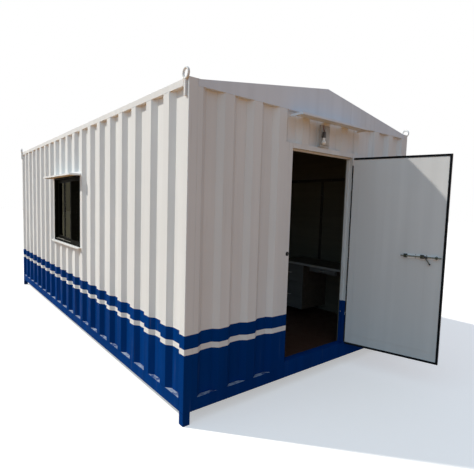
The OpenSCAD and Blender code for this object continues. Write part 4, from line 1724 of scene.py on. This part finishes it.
@dataclass
class Window(Assembly):
    """Sliding window with its surround, sill and canopy.

    Attributes:
        low: Lowest y and z of the opening.
        high: Highest y and z of the opening.
        face_x: Outer face of the aluminium frame.
        bar: Width of the frame's bars.
        sashes: Number of sashes.
        track: Spacing of the tracks.
        pane_x: Outer face of the first pane.
        pane_t: Thickness of a pane.
        pane_low: Lowest y and z of the first pane.
        pane_size: Width and height of a pane.
        pane_step: Distance between neighbouring panes along the wall.
        gasket_in: How far the gaskets lie inside the panes' edges.
        screen_x: Place of the fly screen in the near sash.
        mesh: Spacing of the screen's wires.
        wire: Radius of the screen's wires.
        tuck: How far the wires reach past the pane's edges, and lie apart in depth.
        shade: Reach of the canopy.
        shade_side: Overhang of the canopy at each end.
        shade_low: Level of the canopy's lower edge.
        shade_top: Level of the canopy's upper face.
        stitch: Length of a stitch over the canopy.
        stitches: Where the stitches start, from the canopy's near end.
        rib: Radius of the ribs that the sashes run on.
        rib_x: Depth of the first rib behind the frame's face.
        rib_up: Level of the ribs over the frame's bar.
        upright_screws: Screws on the frame's uprights, from its lower edge.
        level_screws: Screws on the frame's level bars, from its near edge.
        pull_x: Place of the first sash's pull.
        pull_y: Places of the pulls along the wall.
        pull_plate: Depths, half width and half height, and edge radius of a pull's plate.
        pull_grip: The same of its grip.
    """

    low: Sequence[float] = (2480.0, 1102.0)
    high: Sequence[float] = (3700.0, 1994.0)
    face_x: float = 6.0
    bar: float = 28.0
    sashes: int = 3
    track: float = 20.0
    pane_x: float = 14.5
    pane_t: float = 5.0
    pane_low: Sequence[float] = (2546.0, 1168.0)
    pane_size: Sequence[float] = (338.667, 756.0)
    pane_step: float = 374.667
    gasket_in: float = 1.2
    screen_x: float = 11.0
    mesh: float = 4.0
    wire: float = 0.55
    tuck: float = 1.0
    shade: float = 135.0
    shade_side: float = 38.0
    shade_low: float = 1984.0
    shade_top: float = 2004.0
    stitch: float = 50.0
    stitches: Row = Row(30.0, 240.0, 6)
    rib: float = 2.5
    rib_x: float = 11.0
    rib_up: float = 1.0
    upright_screws: Row = Row(60.0, 257.0, 4)
    level_screws: Row = Row(150.0, 306.0, 4)
    pull_x: float = 26.0
    pull_y: Sequence[float] = (2527.0, 2901.0, 3653.0)
    pull_plate: tuple = ((-0.5, 3.0), (11.0, 52.0), 1.2)
    pull_grip: tuple = ((1.0, 13.0), (3.0, 38.0), 1.8)

    def build(self, shop: Workshop) -> None:
        """Dresses the window and adds its gaskets, ribs, screen, screws, pulls, hem and welds.

        Args:
            shop: The plan, the finishes and the patterns.
        """
        palette = shop.palette
        dress(palette.white, "window_surround", "window_canopy", "window_sill")
        dress(palette.aluminium, "window_frame", "window_sashes")
        dress(palette.glass, "window_glass")
        shop.lines("pane_gaskets", shop.round_bead, self.panes(), palette.rubber, Slot.RUBBER,
                   closed=True, radius=2.4, corner=5.0)
        rim = rectangle_across_x(self.face_x, self.low, self.high)
        shop.lines("frame_sealant", shop.round_bead, [rim], palette.rubber, Slot.RUBBER,
                   closed=True, radius=2.5, corner=4.0)
        shop.lines("track_ribs", shop.round_bead, self.ribs(), palette.track, Slot.ALUMINIUM,
                   radius=self.rib)
        shop.lines("fly_screen", shop.round_bead, self.screen(), palette.aluminium, Slot.ALUMINIUM,
                   radius=self.wire)
        shop.screws("frame_screws", self.screws(), radius=3.6, height=1.6)
        y0, y1 = self.low[0] - self.shade_side, self.high[0] + self.shade_side
        ends = [(0, y, self.shade_low) for y in (y0, y1)]
        shop.hem("shade_hem", three_sides(ends[0], (-self.shade, 0, 0), ends[1]))
        stitches = [[(0, y, self.shade_top), (0, y + self.stitch, self.shade_top)]
                    for y in self.stitches.places(y0)]
        shop.stitches("shade_stitches", stitches, palette.white)
        self.pulls(shop)

    def panes(self) -> list:
        """Gives the outlines of the panes, inside and outside.

        Returns:
            Closed routes.
        """
        routes = []
        for i in range(self.sashes):
            y, z = self.pane_low[0] + i * self.pane_step, self.pane_low[1]
            corner = (y + self.pane_size[0], z + self.pane_size[1])
            for x in (self.pane_x + i * self.track, self.pane_x + self.pane_t + i * self.track):
                routes.append(rectangle_across_x(x, (y, z), corner, self.gasket_in))
        return routes

    def ribs(self) -> list:
        """Gives the ribs that the sashes run on.

        Returns:
            Routes of two points.
        """
        level = self.low[1] + self.bar + self.rib_up
        ends = (self.low[0] + self.bar, self.high[0] - self.bar)
        places = [self.face_x + self.rib_x + i * self.track for i in range(self.sashes)]
        return [[(x, y, level) for y in ends] for x in places]

    def screen(self) -> list:
        """Gives the wires of the fly screen: uprights, and cross wires behind them.

        Returns:
            Routes of two points.
        """
        (y0, z0), (wide, high) = self.pane_low, self.pane_size
        front, back = self.screen_x, self.screen_x + self.tuck
        ends = (z0 - self.tuck, z0 + high + self.tuck)
        places = [y0 + i * self.mesh for i in range(int(wide // self.mesh))]
        wires = [[(front, y, z) for z in ends] for y in places]
        ends = (y0 - self.tuck, y0 + wide + self.tuck)
        places = [z0 + i * self.mesh for i in range(int(high // self.mesh))]
        return wires + [[(back, y, z) for y in ends] for z in places]

    def screws(self) -> list:
        """Gives the places of the frame's screws, on its outer face.

        Returns:
            Points and the directions that the heads face.
        """
        middle, (y0, z0), (y1, z1) = self.bar / 2, self.low, self.high
        places = [(y, z) for y in (y0 + middle, y1 - middle) for z in self.upright_screws.places(z0)]
        places += [(y, z) for z in (z0 + middle, z1 - middle) for y in self.level_screws.places(y0)]
        return [((self.face_x, y, z), LEFT) for y, z in places]

    def pulls(self, shop: Workshop) -> None:
        """Adds a finger pull inside each sash, on a stile that no other sash covers.

        Args:
            shop: The plan, the finishes and the patterns.
        """
        shape = shop.shape()
        level = (self.low[1] + self.high[1]) / 2
        for i, y in enumerate(self.pull_y):
            x = self.pull_x + i * self.track
            for (back, front), (wide, tall), bevel in (self.pull_plate, self.pull_grip):
                low, high = (x + back, y - wide, level - tall), (x + front, y + wide, level + tall)
                shape.block(low, high, bevel)
        pulls = shape.make("sash_pulls", shop.palette.aluminium, smooth=True)
        enter(pulls, Body.CABIN, Slot.ALUMINIUM)


@dataclass
class DoorFrame(Assembly):
    """Door frame with its fixed hinge halves, keeper and canopy.

    Attributes:
        left: Left edge of the doorway.
        right: Right edge of the doorway.
        sill: Level of the sill.
        head: Level of the head.
        jamb: Face width of the frame.
        flap_x: Middle of the fixed hinge flaps.
        flap_y: Face of the flaps.
        hinges: Levels of the hinges' lower ends.
        hinge_h: Height of a hinge.
        flap_screws: Heights of the screws on a flap.
        keeper: Middle of the keeper's face.
        keeper_screws: Places of its screws above and below the middle.
        cap: Screw cap on the stop of the hinge side.
        bush: Bush in the face of the left jamb.
        strip: Left and right edge of the black strip along the hinges, painted shadow of the gap
            between jamb and leaf.
        strip_low: Distance of the strip's lower end from the sill.
        strip_high: Upper end of the strip.
        strip_gap: Gap between the strip and a hinge.
        strip_out: How far the strip stands out.
        canopy: Left and right edge of the canopy.
        canopy_out: Reach of the canopy.
        canopy_low: Level of the canopy's lower edge.
        canopy_top: Level of the canopy's upper face.
        stitch: Length of a stitch over the canopy.
        stitch_step: Spacing of the stitches.
    """

    left: float = 1076.0
    right: float = 1972.0
    sill: float = 250.0
    head: float = 2200.0
    jamb: float = 45.0
    flap_x: float = 2005.5
    flap_y: float = -3.0
    hinges: Sequence[float] = (466.0, 1170.0, 1874.0)
    hinge_h: float = 110.0
    flap_screws: Sequence[float] = (16.0, 55.0, 94.0)
    keeper: Point = (1089.0, 38.0, 1251.0)
    keeper_screws: Sequence[float] = (-17.0, 17.0)
    cap: Point = (1958.0, 46.0, 584.0)
    bush: Point = (1055.0, 0.0, 1258.0)
    strip: Sequence[float] = (1972.5, 1994.0)
    strip_low: float = 8.0
    strip_high: float = 2122.0
    strip_gap: float = 3.0
    strip_out: float = 0.8
    canopy: Sequence[float] = (1026.0, 2022.0)
    canopy_out: float = 146.0
    canopy_low: float = 2462.0
    canopy_top: float = 2482.0
    stitch: float = 60.0
    stitch_step: float = 289.8

    def build(self, shop: Workshop) -> None:
        """Dresses the door frame and adds its strip, screws, bush, cap and welds.

        Args:
            shop: The plan, the finishes and the patterns.
        """
        palette, plan = shop.palette, shop.plan
        dress(palette.jamb, "door_jambs", "door_stops", "door_sill")
        dress(palette.white, "door_head")
        dress(palette.steel, "bolt_keeper")
        dress(palette.black, "frame_hinges")
        # A black strip paints the shadow in the gap between jamb and leaf.
        self.painted_gap_shadow(shop)
        x, y, z = self.keeper
        spots = self.hinge_screws(self.flap_x, self.flap_y)
        spots += [((x, y, z + up), FRONT) for up in self.keeper_screws]
        shop.screws("jamb_screws", spots, radius=3.4, height=1.3)
        bush = [(self.bush, FRONT)]
        shop.heads("bush_rim", shop.dome_heads, bush, palette.rubber, Slot.RUBBER,
                   radius=20.0, height=3.0)
        shop.heads("bush_pin", shop.dome_heads, bush, palette.bolt, Slot.STEEL,
                   radius=7.0, height=5.0)
        shop.heads("stop_cap", shop.dome_heads, [(self.cap, LEFT)], palette.edge, Slot.LAMP,
                   radius=7.0, height=1.8)
        heights = ((self.head, self.head + self.jamb), (plan.floor, self.sill))
        seams = [[(x, 0, z) for z in ends] for x in (self.left, self.right) for ends in heights]
        shop.lines("door_frame_welds", shop.weld_bead, seams, palette.frame, Slot.WHITE,
                   pitch=4.5, radius=2.2)
        self.shelter(shop)

    def hinge_screws(self, x: float, y: float) -> list:
        """Gives the screws in one row of hinge flaps, x in their middle and y on their face."""
        return [((x, y, z + up), FRONT) for z in self.hinges for up in self.flap_screws]

    def painted_gap_shadow(self, shop: Workshop) -> None:
        """Adds a black strip on the hinge side's jamb, cut out at the hinges: painted shadow of the
        gap between jamb and leaf.

        Args:
            shop: The plan, the finishes and the patterns.
        """
        lows = [self.sill + self.strip_low] + [z + self.hinge_h + self.strip_gap for z in self.hinges]
        highs = [z - self.strip_gap for z in self.hinges] + [self.strip_high]
        left, right = self.strip
        strip = shop.shape()
        for low, high in zip(lows, highs):
            strip.block((left, -self.strip_out, low), (right, self.strip_out, high), bevel=0.3)
        enter(strip.make("painted_gap_shadow", shop.palette.rubber), Body.CABIN, Slot.RUBBER)

    def shelter(self, shop: Workshop) -> None:
        """Dresses the canopy and adds its hem and stitches.

        Args:
            shop: The plan, the finishes and the patterns.
        """
        # The canopy takes the cooler white of painted sky light.
        dress(shop.palette.sheet, "door_canopy")
        ends = [(x, 0, self.canopy_low) for x in self.canopy]
        shop.hem("canopy_hem", three_sides(ends[0], (0, -self.canopy_out, 0), ends[1]))
        half, middle = self.stitch / 2, sum(self.canopy) / 2
        places = [middle + i * self.stitch_step for i in (-1, 0, 1)]
        stitches = [[(x + side, 0, self.canopy_top) for side in (-half, half)] for x in places]
        shop.stitches("canopy_stitches", stitches, shop.palette.white)


@dataclass
class DoorLeaf(Assembly):
    """Steel leaf with its seal, moving hinge halves and slide bolt, drawn shut.

    Attributes:
        door_frame: The frame, whose hinges and bolt level it shares.
        left: Free edge of the leaf.
        right: Hinge edge of the leaf.
        low: Lower edge.
        high: Upper edge.
        seal_face: Inner face of the seal.
        seal_in: Distance of the seal's bulb from the edges.
        bulb: Radius of the seal's bulb.
        seal_w: Width of the seal.
        rim: Width of the leaf's rim beside its raised panel, on the hinge side.
        rim_low: Width of the rim along the lower edge.
        panel: Inner and outer face of the raised panel.
        flap_x: Middle of the moving hinge flaps.
        flap_y: Face of the flaps.
        plate: Left and right end of the bolt's base plate.
        plate_y: Face of the base plate.
        plate_screws: Distances of the base plate's screws from its left end.
        plate_half: Distance of those screws from the middle of the plate.
        saddles: Middles of the saddles under two guides, from the plate's left end.
        saddle: Half width and half height of a saddle.
        saddle_y: Depths of a saddle's faces from the plate's face.
        collar: Left end of the collar at the handle's root.
        collar_turning: Radius and height of the collar's profile.
        handle: Lower end of the bolt's handle.
        handle_way: Direction up the handle.
        knob_turning: Radius and height of the knob's profile.
        turning_sides: Steps round the turned pieces.
    """

    door_frame: DoorFrame
    left: float = 1082.0
    right: float = 1966.0
    low: float = 256.0
    high: float = 2194.0
    seal_face: float = 32.0
    seal_in: float = 10.0
    bulb: float = 3.4
    seal_w: float = 20.0
    rim: float = 60.0
    rim_low: float = 105.0
    panel: Sequence[float] = (27.5, 28.8)
    flap_x: float = 1954.5
    flap_y: float = -3.0
    plate: Sequence[float] = (1140.0, 1430.0)
    plate_y: float = 32.0
    plate_screws: Sequence[float] = (11.0, 95.0, 190.0, 279.0)
    plate_half: float = 15.0
    saddles: Sequence[float] = (134.0, 279.0)
    saddle: Sequence[float] = (17.0, 18.0)
    saddle_y: Sequence[float] = (-1.0, 2.5)
    collar: Point = (1226.0, 50.0, 1251.0)
    collar_turning: Sequence[tuple] = ((6.2, 0), (10, 0.5), (11, 2), (11, 28), (10, 29.5), (6.2, 30))
    handle: Point = (1204.0, 50.0, 1187.0)
    handle_way: Point = (46.0, 0.0, 64.0)
    knob_turning: Sequence[tuple] = ((3, -7), (6.5, -5), (8, -1), (7.4, 4), (5.6, 8), (5.2, 11))
    turning_sides: int = 20

    def build(self, shop: Workshop) -> None:
        """Dresses the leaf and adds its panel, seal, screws and the bolt's small pieces.

        Args:
            shop: The plan, the finishes and the patterns.
        """
        palette = shop.palette
        dress(palette.leaf, "door_leaf")
        dress(palette.rubber, "door_seal")
        dress(palette.black, "leaf_hinges")
        panel = shop.shape(Body.DOOR)
        panel.block((self.left + self.seal_w, self.panel[0], self.low + self.rim_low),
                    (self.right - self.rim, self.panel[1], self.high - self.seal_w), bevel=0.6)
        enter(panel.make("leaf_panel", palette.leaf), Body.DOOR, Slot.WHITE)
        ends = [(self.right, self.seal_face, z)
                for z in (self.low + self.seal_in, self.high - self.seal_in)]
        seal = three_sides(ends[0], (self.left + self.seal_in - self.right, 0, 0), ends[1])
        shop.lines("seal_bulb", shop.round_bead, [seal], palette.rubber, Slot.RUBBER, Body.DOOR,
                   radius=self.bulb, corner=20.0)
        spots = self.door_frame.hinge_screws(self.flap_x, self.flap_y)
        level = self.door_frame.keeper[2]
        spots += [((self.plate[0] + x, self.plate_y, level + up), BACK)
                  for x in self.plate_screws for up in (-self.plate_half, self.plate_half)]
        shop.heads("leaf_screws", shop.dome_heads, spots, palette.black, Slot.STEEL, Body.DOOR,
                   radius=3.4, height=1.3)
        self.bolt(shop, level)

    def bolt(self, shop: Workshop, level: float) -> None:
        """Dresses the slide bolt and adds its knob, collar and saddles.

        Args:
            shop: The workshop.
            level: Level of the bolt.
        """
        palette = shop.palette
        dress(palette.guides, "bolt_guides")
        dress(palette.bolt, "bolt_rod")
        for name, turning, foot, way in (
            ("bolt_knob", self.knob_turning, self.handle, self.handle_way),
            ("bolt_collar", self.collar_turning, self.collar, (1, 0, 0)),
        ):
            turned = shop.shape(Body.BOLT).lathe(turning, foot, way, self.turning_sides)
            enter(turned.make(name, palette.black, smooth=True), Body.BOLT, Slot.STEEL)
        saddles = shop.shape(Body.DOOR)
        (wide, high), (back, front) = self.saddle, (self.plate_y + y for y in self.saddle_y)
        for x in self.saddles:
            middle = self.plate[0] + x
            low, top = (middle - wide, back, level - high), (middle + wide, front, level + high)
            saddles.block(low, top, bevel=0.8)
        enter(saddles.make("bolt_saddles", palette.black), Body.DOOR, Slot.STEEL)


@dataclass
class Lamp(Assembly):
    """Wall lamp under the canopy.

    Attributes:
        low: Lowest left point of the plate's face.
        high: Highest right point of the plate's face.
        screws_x: Distances of the screws from the plate's left and right edge.
        screws_z: Distance of the screws from its lower and upper edge.
        cover: Lowest left and highest right point of the raised cover.
        cover_out: How far the cover stands off the plate.
        holder: Mouth of the upright lamp holder.
        holder_l: Length of the holder.
        wire_x: Distance of the wire's upright run from the holder.
        wire_out: Distance of that run from the plate.
        bend: Levels over the holder where the wire bends to it.
        wire_in: How far the wire enters the holder.
    """

    low: Point = (1425.0, -14.0, 2250.0)
    high: Point = (1560.0, -14.0, 2450.0)
    screws_x: Sequence[float] = (9.0, 6.0)
    screws_z: float = 9.0
    cover: Sequence[Sequence[float]] = ((1480.0, 2268.0), (1546.0, 2434.0))
    cover_out: float = 9.0
    holder: Point = (1447.0, -38.0, 2330.0)
    holder_l: float = 55.0
    wire_x: float = 16.0
    wire_out: float = 3.0
    bend: Sequence[float] = (18.0, 16.0)
    wire_in: float = 4.0

    def build(self, shop: Workshop) -> None:
        """Dresses the lamp and adds its cover, socket, screws and wire.

        Args:
            shop: The plan, the finishes and the patterns.
        """
        palette = shop.palette
        dress(palette.lamp, "lamp_fitting")
        dress(palette.bulb, "lamp_bulb")
        (left, face, low), (right, _, high) = self.low, self.high
        (x0, z0), (x1, z1) = self.cover
        cover = shop.shape().block((x0, face - self.cover_out, z0), (x1, face + 1, z1), bevel=4.0)
        enter(cover.make("lamp_cover", palette.lamp, smooth=True), Body.CABIN, Slot.LAMP)
        length = self.holder_l
        turning = [(15.5, -1), (18, 1), (18, 16), (16.5, 19), (16.5, length - 4), (13, length + 2)]
        socket = shop.shape().lathe(turning, self.holder, (0, 0, 1))
        enter(socket.make("lamp_socket", palette.socket, smooth=True), Body.CABIN, Slot.LAMP)
        spots = [((x, face, z), FRONT) for x in (left + self.screws_x[0], right - self.screws_x[1])
                 for z in (low + self.screws_z, high - self.screws_z)]
        shop.screws("lamp_screws", spots, radius=4.0, height=1.8)
        x, y, top = self.holder[0], self.holder[1], self.holder[2] + length
        run = (x + self.wire_x, face - self.wire_out)
        wire = [(*run, high), (*run, top + self.bend[0]), (x, y, top + self.bend[1]),
                (x, y, top - self.wire_in)]
        shop.lines("lamp_wire", shop.round_bead, [wire], palette.wire, Slot.LAMP,
                   radius=3.0, corner=10.0)


@dataclass
class Room(Assembly):
    """Linings, joint strips and floor inside.

    Attributes:
        strip_face: Face of the joint strips on the right wall.
        uprights: Places of the upright strips.
        level: Middle of the level strip.
        upright_screws: Screws on an upright strip, from the ground.
        level_screws: Screws on the level strip, from the upright strip that follows them.
    """

    strip_face: float = 2958.0
    uprights: Sequence[float] = (1168.0, 2388.0, 3608.0, 4828.0)
    level: float = 2069.0
    upright_screws: Row = Row(330.0, 305.0, 6)
    level_screws: Row = Row(-763.0, 305.0, 3)

    def build(self, shop: Workshop) -> None:
        """Dresses the room and screws its joint strips.

        Args:
            shop: The plan, the finishes and the patterns.
        """
        palette = shop.palette
        dress(palette.lining, "left_lining", "right_lining", "rear_lining", "front_lining",
              "front_lining_over_door", "ceiling_panel")
        dress(palette.strip, "lining_battens")
        dress(palette.floor, "floor_deck")
        places = []
        for y in self.uprights:
            places += [(y, z) for z in self.upright_screws.places()]
            places += [(along, self.level) for along in self.level_screws.places(y)]
        spots = [((self.strip_face, y, z), LEFT) for y, z in places]
        shop.screws("strip_screws", spots, radius=4.0, height=1.5)


@dataclass
class Desk(Assembly):
    """Desk along the right wall with two drawers and a shallow tray.

    Attributes:
        low: Lowest corner of the desk top.
        high: Highest corner of the desk top.
        edge: Thickness of the edge band.
        front_x: Face of the drawer fronts.
        drawers_y: Middle of the drawers.
        tray_y: Middle of the tray.
        levels: Middle levels of upper drawer, lower drawer and tray.
        pull_w: Width of the pulls.
        pull_out: Reach of the pulls.
        pull_in: How far their ends go into the fronts.
        edge_round: Radius of the band's edges.
    """

    low: Point = (2398.0, 184.0, 915.0)
    high: Point = (2958.0, 1494.0, 940.0)
    edge: float = 1.6
    front_x: float = 2408.0
    drawers_y: float = 1229.0
    tray_y: float = 669.0
    levels: Sequence[float] = (793.5, 493.5, 882.5)
    pull_w: float = 96.0
    pull_out: float = 24.0
    pull_in: float = 1.0
    edge_round: float = 0.6

    def build(self, shop: Workshop) -> None:
        """Dresses the desk and adds its edge band and pulls.

        Args:
            shop: The plan, the finishes and the patterns.
        """
        palette = shop.palette
        dress(palette.desk, "desk", "drawer_case")
        dress(palette.drawer, "upper_drawer", "lower_drawer", "desk_tray")
        (x0, y0, z0), (x1, y1, z1) = self.low, self.high
        near, far = y0 - self.edge, y1 + self.edge
        band = shop.shape()
        for low, high in (
            ((x0 - self.edge, near, z0), (x0, far, z1)),
            ((x0, near, z0), (x1, y0, z1)),
            ((x0, y1, z0), (x1, far, z1)),
        ):
            band.block(low, high, self.edge_round)
        enter(band.make("desk_edge_band", palette.edge), Body.CABIN, Slot.DESK)
        owners = (Body.UPPER_DRAWER, Body.LOWER_DRAWER, Body.TRAY)
        root, half = self.front_x + self.pull_in, self.pull_w / 2
        out = (-self.pull_in - self.pull_out, 0, 0)
        for body, level, y in zip(owners, self.levels, (self.drawers_y, self.drawers_y, self.tray_y)):
            path = three_sides((root, y - half, level), out, (root, y + half, level))
            shop.lines(f"{body.value}_pull", shop.round_bead, [path], palette.steel, Slot.STEEL, body,
                       radius=5.0, corner=12.0)


def main() -> None:
    """Dresses the cabin piece by piece and sets up the studio."""
    logging.basicConfig(level=logging.INFO, format="%(name)s: %(message)s")
    bpy.context.scene.view_settings.view_transform = "Standard"
    Studio().build()
    shop = Workshop(Plan())
    door_frame = DoorFrame()
    cabin = (SteelFrame(), WallCladding(), Roof(), Window(), door_frame, DoorLeaf(door_frame),
             Lamp(), Room(), Desk())
    for assembly in cabin:
        assembly.build(shop)


if __name__ == "__main__":
    main()
